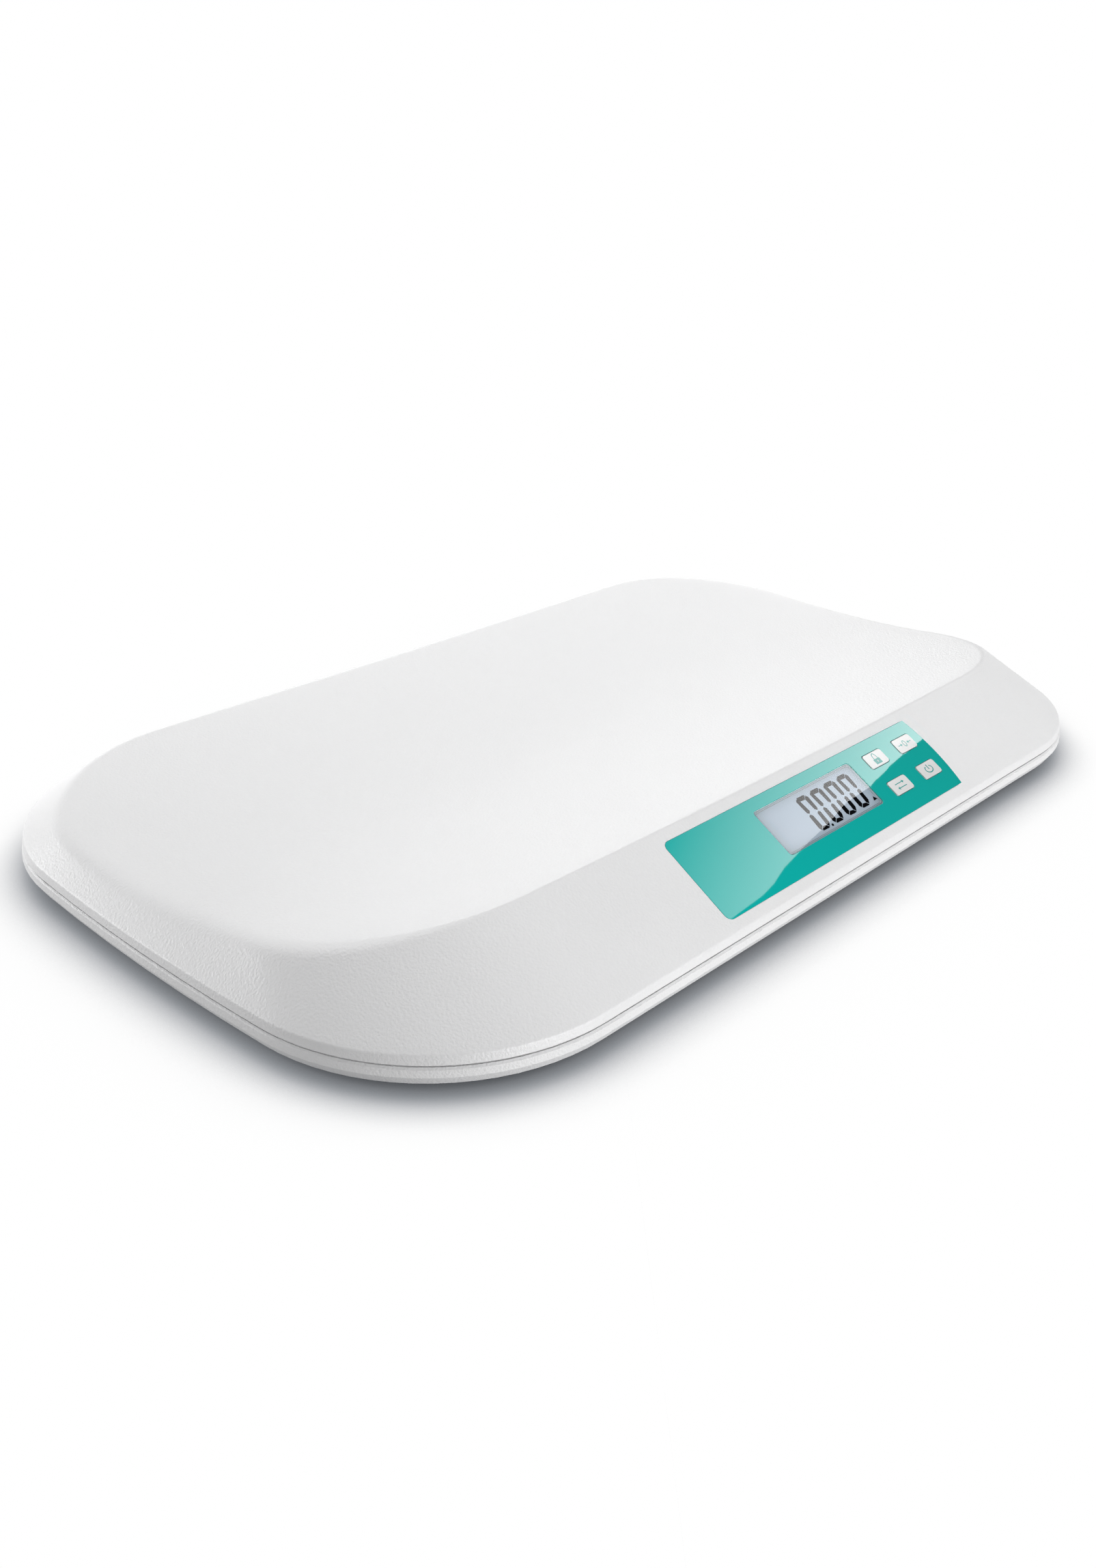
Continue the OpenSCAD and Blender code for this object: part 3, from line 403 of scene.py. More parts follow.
def raise_faces(bm, height):
    """Gives a flat sheet a thickness, upwards."""
    up = bmesh.ops.extrude_face_region(bm, geom=list(bm.faces))["geom"]
    bmesh.ops.translate(bm, vec=(0, 0, height), verts=verts_of(up))
    bmesh.ops.recalc_face_normals(bm, faces=bm.faces)


def joined(parts):
    """Puts bmeshes together, each with its own matrix."""
    whole = bmesh.new()
    for bm, matrix in parts:
        bmesh.ops.transform(bm, matrix=matrix, verts=bm.verts)
        mesh = bpy.data.meshes.new("part")
        bm.to_mesh(mesh)
        bm.free()
        whole.from_mesh(mesh)
        bpy.data.meshes.remove(mesh)
    return whole


def panel_matrix(form, u=0.0, v=0.0, w=0.0):
    """Places what lies in the panel's plane: u along it, v up the skirt, w out of its face."""
    slope = math.atan2(form.skirt_rise, form.skirt_front)
    return (
        Matrix.Translation((0, form.crease_inset - form.depth / 2, form.crease_z))
        @ Matrix.Rotation(slope, 4, "X")
        @ Matrix.Translation((u, v, w))
    )


def node_copy(node, material, name, bevel=0.0, sharp=35.0):
    """A merged copy of a node with softened edges, which stands for it."""
    bm = bmesh.new()
    bm.from_mesh(NODES[node].data)
    bmesh.ops.remove_doubles(bm, verts=bm.verts, dist=1e-6)
    bmesh.ops.dissolve_limit(bm, angle_limit=math.radians(0.4), verts=bm.verts, edges=bm.edges)
    if bevel:
        limit = math.radians(sharp)
        edges = [e for e in bm.edges if len(e.link_faces) == 2 and e.calc_face_angle(0) > limit]
        bmesh.ops.bevel(
            bm, geom=edges, offset=bevel, segments=2, profile=0.5, affect="EDGES", clamp_overlap=True,
            material=-1,
        )
    piece = new_piece(name, bm, material, NODES[node]["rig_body"], (node,), sharp)
    if bevel:
        even = piece.modifiers.new("even", "WEIGHTED_NORMAL")
        even.keep_sharp = True
        even.weight = 100
        baked(piece)
    return piece


# Materials ---------------------------------------------------------------------------------------


class Tree:
    """Short calls for a node tree."""

    def __init__(self, tree):
        self.tree = tree

    def add(self, kind, **values):
        node = self.tree.nodes.new(kind)
        for key, value in values.items():
            setattr(node, key, value)
        return node

    def link(self, a, b):
        self.tree.links.new(a, b)

    def math(self, operation, a, b=None, clamp=False):
        node = self.add("ShaderNodeMath", operation=operation, use_clamp=clamp)
        for socket, value in zip(node.inputs, (a, b)):
            self.feed(value, socket)
        return node.outputs[0]

    def vector(self, operation, a, b=None):
        node = self.add("ShaderNodeVectorMath", operation=operation)
        for socket, value in zip(node.inputs, (a, b)):
            self.feed(value, socket)
        return node.outputs["Value" if operation in ("DOT_PRODUCT", "LENGTH", "DISTANCE") else "Vector"]

    def feed(self, value, socket):
        if value is None:
            return
        if isinstance(value, bpy.types.NodeSocket):
            self.link(value, socket)
        else:
            socket.default_value = value

    def remap(self, value, low, high, to_low=0.0, to_high=1.0):
        node = self.add("ShaderNodeMapRange")
        names = ("Value", "From Min", "From Max", "To Min", "To Max")
        for name, v in zip(names, (value, low, high, to_low, to_high)):
            self.feed(v, node.inputs[name])
        return node.outputs["Result"]

    def blend(self, share, a, b):
        node = self.add("ShaderNodeMix", data_type="RGBA")
        self.feed(share, node.inputs["Factor"])
        for socket, value in ((node.inputs[6], a), (node.inputs[7], b)):
            self.feed((*value, 1) if isinstance(value, tuple) else value, socket)
        return node.outputs[2]


def shade_group(name, inputs, outputs):
    group = bpy.data.node_groups.new(name, "ShaderNodeTree")
    for label, kind, value in inputs:
        socket = group.interface.new_socket(name=label, in_out="INPUT", socket_type=kind)
        if value is not None:
            socket.default_value = value
    for label, kind in outputs:
        group.interface.new_socket(name=label, in_out="OUTPUT", socket_type=kind)
    tree = Tree(group)
    return group, tree, tree.add("NodeGroupInput").outputs, tree.add("NodeGroupOutput").inputs


def moulded_grain():
    """Spark-eroded grain of moulded plastic: a height for bump, and a mask that drifts over the surface."""
    if "Moulded grain" in bpy.data.node_groups:
        return bpy.data.node_groups["Moulded grain"]
    group, tree, given, out = shade_group(
        "Moulded grain",
        [("Grain", "NodeSocketFloat", 1500.0), ("Drift", "NodeSocketFloat", 9.0)],
        [("Height", "NodeSocketFloat"), ("Patch", "NodeSocketFloat"), ("Speck", "NodeSocketFloat")],
    )
    place = tree.add("ShaderNodeTexCoord").outputs["Object"]
    fine = tree.add("ShaderNodeTexNoise")
    fine.inputs["Detail"].default_value = 2.0
    fine.inputs["Roughness"].default_value = 0.6
    tree.link(place, fine.inputs["Vector"])
    tree.link(given["Grain"], fine.inputs["Scale"])
    pits = tree.add("ShaderNodeTexVoronoi", feature="SMOOTH_F1")
    tree.link(place, pits.inputs["Vector"])
    tree.link(tree.math("MULTIPLY", given["Grain"], 0.8), pits.inputs["Scale"])
    slow = tree.add("ShaderNodeTexNoise")
    slow.inputs["Detail"].default_value = 3.0
    tree.link(place, slow.inputs["Vector"])
    tree.link(given["Drift"], slow.inputs["Scale"])
    bumps = tree.math("MULTIPLY", fine.outputs["Fac"], 0.6)
    dents = tree.math("MULTIPLY", pits.outputs["Distance"], 0.4)
    tree.link(tree.math("ADD", bumps, dents), out["Height"])
    tree.link(tree.remap(slow.outputs["Fac"], 0.3, 0.7), out["Patch"])
    tree.link(tree.remap(fine.outputs["Fac"], 0.35, 0.65), out["Speck"])
    return group


def new_material(name):
    material = bpy.data.materials.new(name)
    material.use_nodes = True
    tree = Tree(material.node_tree)
    shader = material.node_tree.nodes["Principled BSDF"]
    return material, tree, shader


def moulded(name, base, rough=0.42, grain=1500.0, bump=0.12, spread=0.03, speck=0.02, metal=0.0, shine=0.5):
    """Moulded or plated finish: fine grain, colour that drifts a little, and roughness that follows both."""
    if name in bpy.data.materials:
        return bpy.data.materials[name]
    material, tree, shader = new_material(name)
    effect = tree.add("ShaderNodeGroup", node_tree=moulded_grain())
    effect.inputs["Grain"].default_value = grain
    darker = tuple(c * (1 - spread) for c in base)
    paler = tuple(min(1.0, c * (1 + spread * 0.4)) for c in base)
    body = tree.blend(effect.outputs["Patch"], darker, paler)
    flecks = tree.math("MULTIPLY", effect.outputs["Speck"], speck)
    tree.link(tree.blend(flecks, body, tuple(c * 0.55 for c in base)), shader.inputs["Base Color"])
    roughness = tree.remap(effect.outputs["Patch"], 0, 1, rough - 0.04, rough + 0.04)
    tree.link(roughness, shader.inputs["Roughness"])
    bumps = tree.add("ShaderNodeBump")
    bumps.inputs["Strength"].default_value = bump
    bumps.inputs["Distance"].default_value = 0.0003
    tree.link(effect.outputs["Height"], bumps.inputs["Height"])
    tree.link(bumps.outputs["Normal"], shader.inputs["Normal"])
    shader.inputs["Metallic"].default_value = metal
    shader.inputs["Specular IOR Level"].default_value = shine
    return material


def overlay_film():
    """Back-printed film: ink under a clear glossy face, deeper towards the right."""
    if "Overlay film" in bpy.data.materials:
        return bpy.data.materials["Overlay film"]
    tones = bpy.context.scene.scale_finishes
    material, tree, shader = new_material("Overlay film")
    place = tree.add("ShaderNodeTexCoord").outputs["Object"]
    along = tree.vector("DOT_PRODUCT", place, (1, 0, 0))
    share = tree.remap(along, -0.094, 0.102)
    ink = tree.blend(share, tuple(tones.teal_left), tuple(tones.teal_right))
    effect = tree.add("ShaderNodeGroup", node_tree=moulded_grain())
    effect.inputs["Grain"].default_value = 900
    fleck = tree.math("MULTIPLY", effect.outputs["Patch"], 0.05)
    tree.link(tree.blend(fleck, ink, tuple(c * 0.7 for c in tones.teal_right)), shader.inputs["Base Color"])
    tree.link(tree.remap(effect.outputs["Speck"], 0, 1, 0.012, 0.02), shader.inputs["Roughness"])
    shader.inputs["IOR"].default_value = 1.5
    return material


def display_ground():
    """Lit ground of the display, with painted shade that darkens it towards its edges."""
    if "Display ground" in bpy.data.materials:
        return bpy.data.materials["Display ground"]
    scene = bpy.context.scene
    tones, form, panel = scene.scale_finishes, scene.scale_cradle, scene.scale_panel
    material, tree, shader = new_material("Display ground")
    mapping = tree.add("ShaderNodeMapping", vector_type="TEXTURE")
    middle = panel_matrix(form, panel.window_x, panel.window_v)
    mapping.inputs["Location"].default_value = middle.translation
    mapping.inputs["Rotation"].default_value = middle.to_euler()
    mapping.inputs["Scale"].default_value = (panel.window_l / 2, panel.window_h / 2, 1)
    tree.link(tree.add("ShaderNodeTexCoord").outputs["Object"], mapping.inputs["Vector"])
    axes = tree.add("ShaderNodeSeparateXYZ")
    tree.link(mapping.outputs["Vector"], axes.inputs["Vector"])
    # Painted shade: the ground darkens steeply towards the window's edges.
    shade_falloff = [tree.math("POWER", tree.math("ABSOLUTE", axes.outputs[i]), p) for i, p in ((0, 9.0), (1, 5.0))]
    edge = tree.math("MULTIPLY", tree.math("ADD", *shade_falloff), 0.75, clamp=True)
    ground = tree.blend(edge, tuple(tones.display), tuple(tones.display_edge_shade))
    tree.link(ground, shader.inputs["Base Color"])
    tree.link(tree.remap(edge, 0, 1, 0.32, 0.4), shader.inputs["Roughness"])
    shader.inputs["Specular IOR Level"].default_value = 0.1
    return material


def clear_pane():
    """Clear window: it only mirrors, as a thin flat pane does."""
    if "Clear pane" in bpy.data.materials:
        return bpy.data.materials["Clear pane"]
    material, tree, shader = new_material("Clear pane")
    material.node_tree.nodes.remove(shader)
    output = material.node_tree.nodes["Material Output"]
    through = tree.add("ShaderNodeBsdfTransparent")
    gloss = tree.add("ShaderNodeBsdfAnisotropic")
    gloss.inputs["Roughness"].default_value = 0.01
    angle = tree.add("ShaderNodeFresnel")
    angle.inputs["IOR"].default_value = 1.5
    mix = tree.add("ShaderNodeMixShader")
    face = tree.add("ShaderNodeNewGeometry")
    outer = tree.math("SUBTRACT", 1.0, face.outputs["Backfacing"])
    tree.link(tree.math("MULTIPLY", angle.outputs["Fac"], outer), mix.inputs[0])
    tree.link(through.outputs[0], mix.inputs[1])
    tree.link(gloss.outputs[0], mix.inputs[2])
    tree.link(mix.outputs[0], output.inputs["Surface"])
    return material


def white_plastic():
    tone = tuple(bpy.context.scene.scale_finishes.housing)
    return moulded("Housing plastic", tone, rough=0.4, grain=1100.0, bump=1.0)


def inner_plastic():
    tone = tuple(bpy.context.scene.scale_finishes.inner)
    return moulded("Inner plastic", tone, rough=0.5, grain=1400.0, bump=0.3)


def pad_rubber():
    tone = tuple(bpy.context.scene.scale_finishes.rubber)
    return moulded("Pad rubber", tone, rough=0.75, grain=900.0, bump=0.4)


def ink(name, tone, rough, shine=0.5):
    return moulded(name, tone, rough=rough, grain=1800.0, bump=0.02, spread=0.02, speck=0.01, shine=shine)


# Heights between which the cuts through the skirt run, from the panel's plane.
CUT_LOW, CUT_HIGH = -6 * MM, 4 * MM
WINDOW_LEDGE = 1 * MM


def key_middle(panel, column, row):
    """A key's middle in the panel's plane."""
    return panel.key_x + column * panel.key_pitch_x, panel.key_v + row * panel.key_pitch_v


# Operators ---------------------------------------------------------------------------------------


class SCALE_OT_cradle(bpy.types.Operator):
    """Lofts the cradle and cuts the seat of the panel, the window and the keys into its skirt"""

    bl_idname = "scale.cradle"
    bl_label = "Cradle"

    def execute(self, context):
        form, panel, white = context.scene.scale_cradle, context.scene.scale_panel, white_plastic()
        skin = loft(Housing(form).rings())
        cradle = new_piece("cradle", skin, white, "housing", ("top_tray",))
        grow, ledge = 2 * panel.seat_gap, 2 * WINDOW_LEDGE
        seat = plate(
            panel.length + grow, panel.height + grow, panel.corner, -panel.seat_depth, CUT_HIGH, panel.bow_r
        )
        seat_at = panel_matrix(form, panel.middle_x, panel.low_edge + panel.height / 2)
        window = plate(panel.window_l - ledge, panel.window_h - ledge, MM, CUT_LOW, CUT_HIGH)
        holes = [(window, panel_matrix(form, panel.window_x, panel.window_v))]
        for column, row in KEY_PLACES.values():
            hole = plate(panel.key_l, panel.key_h, 1.5 * MM, CUT_LOW, CUT_HIGH)
            holes.append((hole, panel_matrix(form, *key_middle(panel, column, row))))
        cuts = [
            new_piece("seat_cut", joined([(seat, seat_at)]), white, None),
            new_piece("hole_cuts", joined(holes), white, None),
        ]
        for cut in cuts:
            cutter = cradle.modifiers.new(cut.name, "BOOLEAN")
            cutter.object = cut
            cutter.solver = "EXACT"
        baked(cradle)
        cradle.data.shade_smooth()
        cradle.data.set_sharp_from_angle(angle=math.radians(28))
        for cut in cuts:
            bpy.data.meshes.remove(cut.data)
        return {"FINISHED"}


class SCALE_OT_base(bpy.types.Operator):
    """Softens the base shell and the parts of its underside"""

    bl_idname = "scale.base"
    bl_label = "Base"

    def execute(self, context):
        node_copy("base_shell", white_plastic(), "base", 0.2 * MM, 24)
        node_copy("battery_cover", white_plastic(), "battery_door", 0.25 * MM)
        node_copy("battery_box", inner_plastic(), "battery_tray")
        return {"FINISHED"}


class SCALE_OT_feet(bpy.types.Operator):
    """Softens the feet and their guides, and dresses the rubber pads"""

    bl_idname = "scale.feet"
    bl_label = "Feet"

    def execute(self, context):
        for corner in CORNERS:
            node_copy("foot_" + corner, inner_plastic(), "foot_form_" + corner, 0.3 * MM)
            node_copy("foot_pad_" + corner, pad_rubber(), "pad_form_" + corner, 0.2 * MM)
            node_copy("cell_carrier_" + corner, inner_plastic(), "guide_form_" + corner, 0.15 * MM)
        return {"FINISHED"}


class SCALE_OT_overlay(bpy.types.Operator):
    """Dresses the glossy printed overlay and softens its edges"""

    bl_idname = "scale.overlay"
    bl_label = "Overlay"

    def execute(self, context):
        node_copy("control_overlay", overlay_film(), "overlay_form", 0.1 * MM, 40)
        return {"FINISHED"}


def segment(points):
    """A flat face through a few points, ready to be thickened."""
    bm = bmesh.new()
    bm.faces.new([bm.verts.new((x, y, 0)) for x, y in points])
    return bm


# Segments of the first digit, in the panel's millimetres; the others stand one pitch apart.
DIGIT_PITCH = 11.2
DIGIT_SEGMENTS = (
    ((-5.9, 39.3), (-0.5, 39.2), (-0.1, 38.6), (-1.9, 36.8), (-5.2, 37.0), (-6.3, 38.4)),
    ((-6.6, 38.8), (-5.4, 37.2), (-4.9, 30.9), (-6.3, 29.7), (-7.5, 30.5), (-7.8, 37.7)),
    ((0.3, 38.5), (1.3, 37.3), (0.9, 30.5), (-0.1, 29.5), (-1.4, 30.5), (-1.6, 36.9)),
    ((-6.7, 29.3), (-5.4, 28.3), (-5.5, 21.7), (-7.6, 20.0), (-8.5, 21.3), (-7.9, 28.5)),
    ((-0.3, 29.0), (0.7, 28.2), (0.2, 22.0), (-1.4, 19.8), (-2.6, 21.3), (-1.7, 28.2)),
    ((-5.3, 21.5), (-2.8, 21.1), (-1.7, 19.7), (-2.3, 19.3), (-6.9, 19.4), (-7.3, 19.9)),
)
POINT_MARK = ((-0.1, 19.6), (0.3, 20.4), (1.2, 20.4), (1.5, 19.7), (1.1, 19.1), (0.2, 19.1))
STEADY_MARK = ((36.4, 20.0), (39.6, 20.0), (38.0, 22.2))


def in_metres(shape, shift=0.0):
    """A shape's points in metres, moved along the panel by a shift in millimetres."""
    return [((x + shift) * MM, y * MM) for x, y in shape]


def digit_zero(place):
    """The six segments of a nought at a digit's place."""
    return [in_metres(shape, place * DIGIT_PITCH) for shape in DIGIT_SEGMENTS]


def thick_film(shapes, film):
    """Flat shapes joined and raised to a printed film's thickness."""
    bm = joined([(segment(shape), Matrix.Identity(4)) for shape in shapes])
    bmesh.ops.recalc_face_normals(bm, faces=bm.faces)
    for face in bm.faces:
        if face.normal.z < 0:
            face.normal_flip()
    raise_faces(bm, film)
    return bm


class SCALE_OT_display(bpy.types.Operator):
    """Dresses the display: its ground, a ring of painted shade inside the window's edge, clear window and
    digits
    """

    bl_idname = "scale.display"
    bl_label = "Display"

    def execute(self, context):
        scene = context.scene
        form, panel, prints = scene.scale_cradle, scene.scale_panel, scene.scale_prints
        node_copy("lcd_glass", display_ground(), "display_cell")
        node_copy("display_window", clear_pane(), "window_pane")
        shapes = [shape for place in range(prints.digits) for shape in digit_zero(place)]
        shapes += [in_metres(mark) for mark in (POINT_MARK, STEADY_MARK)]
        bm = thick_film(shapes, prints.film)
        bmesh.ops.transform(bm, matrix=panel_matrix(form, 0, 0, GLASS_TOP + 0.01 * MM), verts=bm.verts)
        black = ink("Segment black", tuple(scene.scale_finishes.segment), rough=0.4, shine=0.0)
        new_piece("digits", bm, black, "housing")
        # Painted shade: a dark ring where the window's frame would shadow the display.
        ring = self.ledge_shade(panel, prints.film)
        at = panel_matrix(form, panel.window_x, panel.window_v, LEDGE_TOP + 0.005 * MM)
        bmesh.ops.transform(ring, matrix=at, verts=ring.verts)
        new_piece("window_border", ring, display_ground(), "housing")
        return {"FINISHED"}

    def ledge_shade(self, panel, film):
        """A flat ring just inside the window's edge, a sheet of painted shade where the window's frame would
        shadow the display.
        """
        ring = plate(panel.window_l - 0.1 * MM, panel.window_h - 0.1 * MM, 1.9 * MM, 0, film)
        faces = [f for f in ring.faces if abs(f.normal.z) > 0.9]
        bmesh.ops.inset_region(ring, faces=faces, thickness=0.9 * MM, use_even_offset=True)
        most = 0.5 * panel.window_l * panel.window_h
        inner = [f for f in ring.faces if abs(f.normal.z) > 0.9 and f.calc_area() > most]
        bmesh.ops.bridge_loops(ring, edges=[e for f in inner for e in f.edges])
        bmesh.ops.delete(ring, geom=inner, context="FACES_ONLY")
        return ring


def arc_band(cx, cy, rx, ry, start, stop, width, steps=28):
    """Quads along an arc, in millimetres."""
    out = []
    for i in range(steps):
        a, b = (math.radians(start + (stop - start) * t / steps) for t in (i, i + 1))
        ring = []
        for t, grow in ((a, 0), (b, 0), (b, 1), (a, 1)):
            ring.append((cx + (rx - grow * width) * math.cos(t), cy + (ry - grow * width) * math.sin(t)))
        out.append(ring)
    return out


def box_mark(u0, u1, v0, v1):
    return [(u0, v0), (u1, v0), (u1, v1), (u0, v1)]


def padlock(cx, cy):
    """A closed padlock."""
    marks = arc_band(cx, cy + 0.4, 1.75, 3.1, 0, 180, 0.55)
    marks += [box_mark(cx - 1.75, cx - 1.2, cy - 0.1, cy + 0.4)]
    marks += [box_mark(cx + 1.2, cx + 1.75, cy - 0.1, cy + 0.4)]
    body = [box_mark(cx - 2.5, cx - 0.35, cy - 3.1, cy), box_mark(cx + 0.35, cx + 2.5, cy - 3.1, cy)]
    body += [box_mark(cx - 0.35, cx + 0.35, cy - 3.1, cy - 2.1), box_mark(cx - 0.35, cx + 0.35, cy - 0.9, cy)]
    return marks + body


def power_ring(cx, cy):
    """A broken ring with a stem."""
    return arc_band(cx, cy, 3.2, 2.3, -238, 58, 0.6) + [box_mark(cx - 0.3, cx + 0.3, cy - 0.2, cy + 2.8)]


def arrow(u0, u1, v, head=1.5, half=0.95, stroke=0.45):
    """An arrow from u0 to u1 at height v."""
    way = 1 if u1 > u0 else -1
    neck = u1 - way * head
    shaft = box_mark(min(u0, neck), max(u0, neck), v - stroke / 2, v + stroke / 2)
    return [shaft, [(neck, v - half), (u1, v), (neck, v + half)]]


def zero_mark(cx, cy):
    """A nought between two arrows that point at it."""
    nought = arc_band(cx, cy, 1.35, 2.0, 0, 360, 0.5, 36)
    return nought + arrow(cx - 5.6, cx - 2.0, cy) + arrow(cx + 5.6, cx + 2.0, cy)


def swap_mark(cx, cy):
    """Two arrows that pass each other."""
    return arrow(cx - 3.8, cx + 3.8, cy + 1.3) + arrow(cx + 3.8, cx - 3.8, cy - 1.3)


class SCALE_OT_keys(bpy.types.Operator):
    """Softens the four keys and prints a plain mark on each"""

    bl_idname = "scale.keys"
    bl_label = "Keys"

    def execute(self, context):
        scene = context.scene
        form, panel, prints = scene.scale_cradle, scene.scale_panel, scene.scale_prints
        tones = scene.scale_finishes
        white = tuple(tones.key_cap)
        cap = moulded("Key plastic", white, 0.12, grain=900.0, bump=0.03, spread=0.01, speck=0.0)
        teal = ink("Key ink", tuple(tones.teal_ink), rough=0.12)
        marks = {"lock": padlock, "zero": zero_mark, "swap": swap_mark, "power": power_ring}
        for name, (column, row) in KEY_PLACES.items():
            node_copy("key_" + name, cap, "key_cap_" + name, 0.18 * MM)
            u, v = key_middle(panel, column, row)
            bm = thick_film([in_metres(shape) for shape in marks[name](u / MM, v / MM)], prints.film)
            bmesh.ops.transform(bm, matrix=panel_matrix(form, 0, 0, KEY_TOP), verts=bm.verts)
            new_piece("key_mark_" + name, bm, teal, "key_%s_body" % name)
        return {"FINISHED"}


class SCALE_OT_inner(bpy.types.Operator):
    """Gives the frame's other nodes their finishes"""

    bl_idname = "scale.inner"
    bl_label = "Inner parts"

    def execute(self, context):
        grey, pale = (0.62, 0.62, 0.62), (0.55, 0.56, 0.58)
        steel = moulded("Plated steel", grey, 0.28, grain=600.0, bump=0.08, spread=0.1, metal=1.0)
        zinc = moulded("Zinc screws", pale, 0.34, grain=700.0, bump=0.1, spread=0.12, metal=1.0)
        board = moulded("Board lacquer", (0.02, 0.16, 0.07), 0.35, grain=500.0, bump=0.1, spread=0.15)
        chip = moulded("Moulded parts", (0.02, 0.02, 0.022), 0.5, grain=900.0, bump=0.2)
        silicone = moulded("Silicone", (0.45, 0.46, 0.47), 0.6, grain=800.0, bump=0.1)
        carbon = moulded("Carbon pill", (0.008, 0.008, 0.008), 0.7, grain=900.0, bump=0.2)
        light = moulded("Light guide", (0.80, 0.84, 0.87), 0.3, grain=900.0, bump=0.05)
        gauge = moulded("Gauge film", (0.48, 0.22, 0.04), 0.35, grain=600.0, bump=0.1, spread=0.2)
        sleeve = moulded("Cell sleeve", (0.02, 0.09, 0.06), 0.3, grain=500.0, bump=0.05, spread=0.1)
        wire = moulded("Wire insulation", (0.45, 0.02, 0.015), 0.4, grain=700.0, bump=0.05)
        finishes = {
            "load_cell_": steel, "load_beam_": steel, "battery_springs": steel, "battery_plates": steel,
            "case_screws": zinc, "pcb_screws": zinc, "carrier_screws": zinc, "main_pcb": board,
            "pcb_components": chip, "zebra_strips": pad_rubber(), "keypad_mat": silicone,
            "key_pill_": carbon, "backlight_panel": light, "strain_gauges": gauge, "aaa_cells": sleeve,
            "sensor_wires": wire, "battery_lead": wire, "lcd_frame": inner_plastic(),
        }
        for name, node in NODES.items():
            for start, material in finishes.items():
                if name.startswith(start):
                    node.data.materials.clear()
                    node.data.materials.append(material)
        return {"FINISHED"}


# Stage -------------------------------------------------------------------------------------------

CAMERA_AT = Vector((-0.53021, -0.46299, 0.3339))
CAMERA_AZIMUTH, CAMERA_DIP, CAMERA_ROLL = 42.625, 25.281, 1.397
SENSOR = 36
# The picture's height, the camera's focal length and its optical middle, in the picture's pixels.
PICTURE_HEIGHT, FOCAL, OPTICAL_X, OPTICAL_Y = 2296, 2137.8, 814.3, 1140.5
PICTURE_MIDDLE_X, PICTURE_MIDDLE_Y = 802.5, 1148
FLOOR_HALF = 6
LAMP_REACH = 1.4
# Each lamp's name, azimuth from +X and height in degrees, and its width and depth.
LAMPS = (
    ("overhead", 90, 65, 0.9, 0.9), ("high_right", 0, 65, 0.9, 0.9), ("far_right", 45, 35, 1.0, 0.6),
    ("low_right", 45, 8, 1.0, 0.25), ("low_left", 135, 8, 1.0, 0.25), ("low_front", 270, 5, 1.0, 0.2),
    ("underneath", 60, -45, 1.0, 1.0),
)
CARD_REACH = 1.2
# The card's share of its radiance where the panel's upper left, upper right and lower left mirror it.
CARD_LEFT, CARD_RIGHT, CARD_LOW = 0.15, 1.18, 0.75
# The card's lower edge as the overlay mirrors it, in the panel's millimetres.
GLOSS_EDGE = (
    (-130, 2.0), (-112, 3.5), (-93, 6.0), (-68, 7.7), (-58, 9.6), (-52, 11.6), (-45, 13.8), (-33, 16.1),
    (-20, 18.4), (-4, 20.8), (8, 23.4), (18, 25.6), (26, 26.0), (41, 26.8), (48, 28.4), (62, 30.8),
    (80, 33.2), (102, 35.5), (130, 37.5),
)

# The panel's middle in its own plane, in millimetres.
PANEL_MIDDLE = (4.0, 27.4)


def camera_turn():
    """The camera's rotation: it looks along an azimuth from +X, dips, and rolls a little."""
    az, dip, roll = (math.radians(a) for a in (CAMERA_AZIMUTH, CAMERA_DIP, CAMERA_ROLL))
    ahead = Vector((math.cos(az) * math.cos(dip), math.sin(az) * math.cos(dip), -math.sin(dip)))
    right = Vector((math.sin(az), -math.cos(az), 0))
    up = right.cross(ahead)
    right, up = math.cos(roll) * right + math.sin(roll) * up, math.cos(roll) * up - math.sin(roll) * right
    return Matrix((right, up, -ahead)).transposed().to_4x4()


def mirrored_card(form, reach, panel_points):
    """Points of a plane beyond the panel, where the camera's rays land after the overlay mirrors them."""
    at = panel_matrix(form)
    normal = at.to_3x3() @ Vector((0, 0, 1))
    origin = at @ Vector((0, 0, PANEL_TOP))
    eye = CAMERA_AT - 2 * (CAMERA_AT - origin).dot(normal) * normal
    centre = at @ Vector((PANEL_MIDDLE[0] * MM, PANEL_MIDDLE[1] * MM, PANEL_TOP))
    ahead = (centre - eye).normalized()
    plane = centre + reach * ahead
    spots = []
    for u, v in panel_points:
        ray = at @ Vector((u * MM, v * MM, PANEL_TOP)) - eye
        spots.append(eye + ray * ((plane - eye).dot(ahead) / ray.dot(ahead)))
    return spots


def stage_face(name, spots, material):
    """A flat face of the stage that the camera sees only in mirrors."""
    bm = bmesh.new()
    bm.faces.new([bm.verts.new(p) for p in spots])
    bmesh.ops.triangulate(bm, faces=bm.faces)
    piece = new_piece(name, bm, material, None)
    piece.visible_camera = False
    return piece


def seen_directly(tree):
    """1 where the camera sees a thing, straight or in a mirror or pane, and 0 for its light on others."""
    path = tree.add("ShaderNodeLightPath")
    seen = tree.math("MAXIMUM", path.outputs["Is Camera Ray"], path.outputs["Is Glossy Ray"])
    return tree.math("MAXIMUM", seen, path.outputs["Is Transmission Ray"])


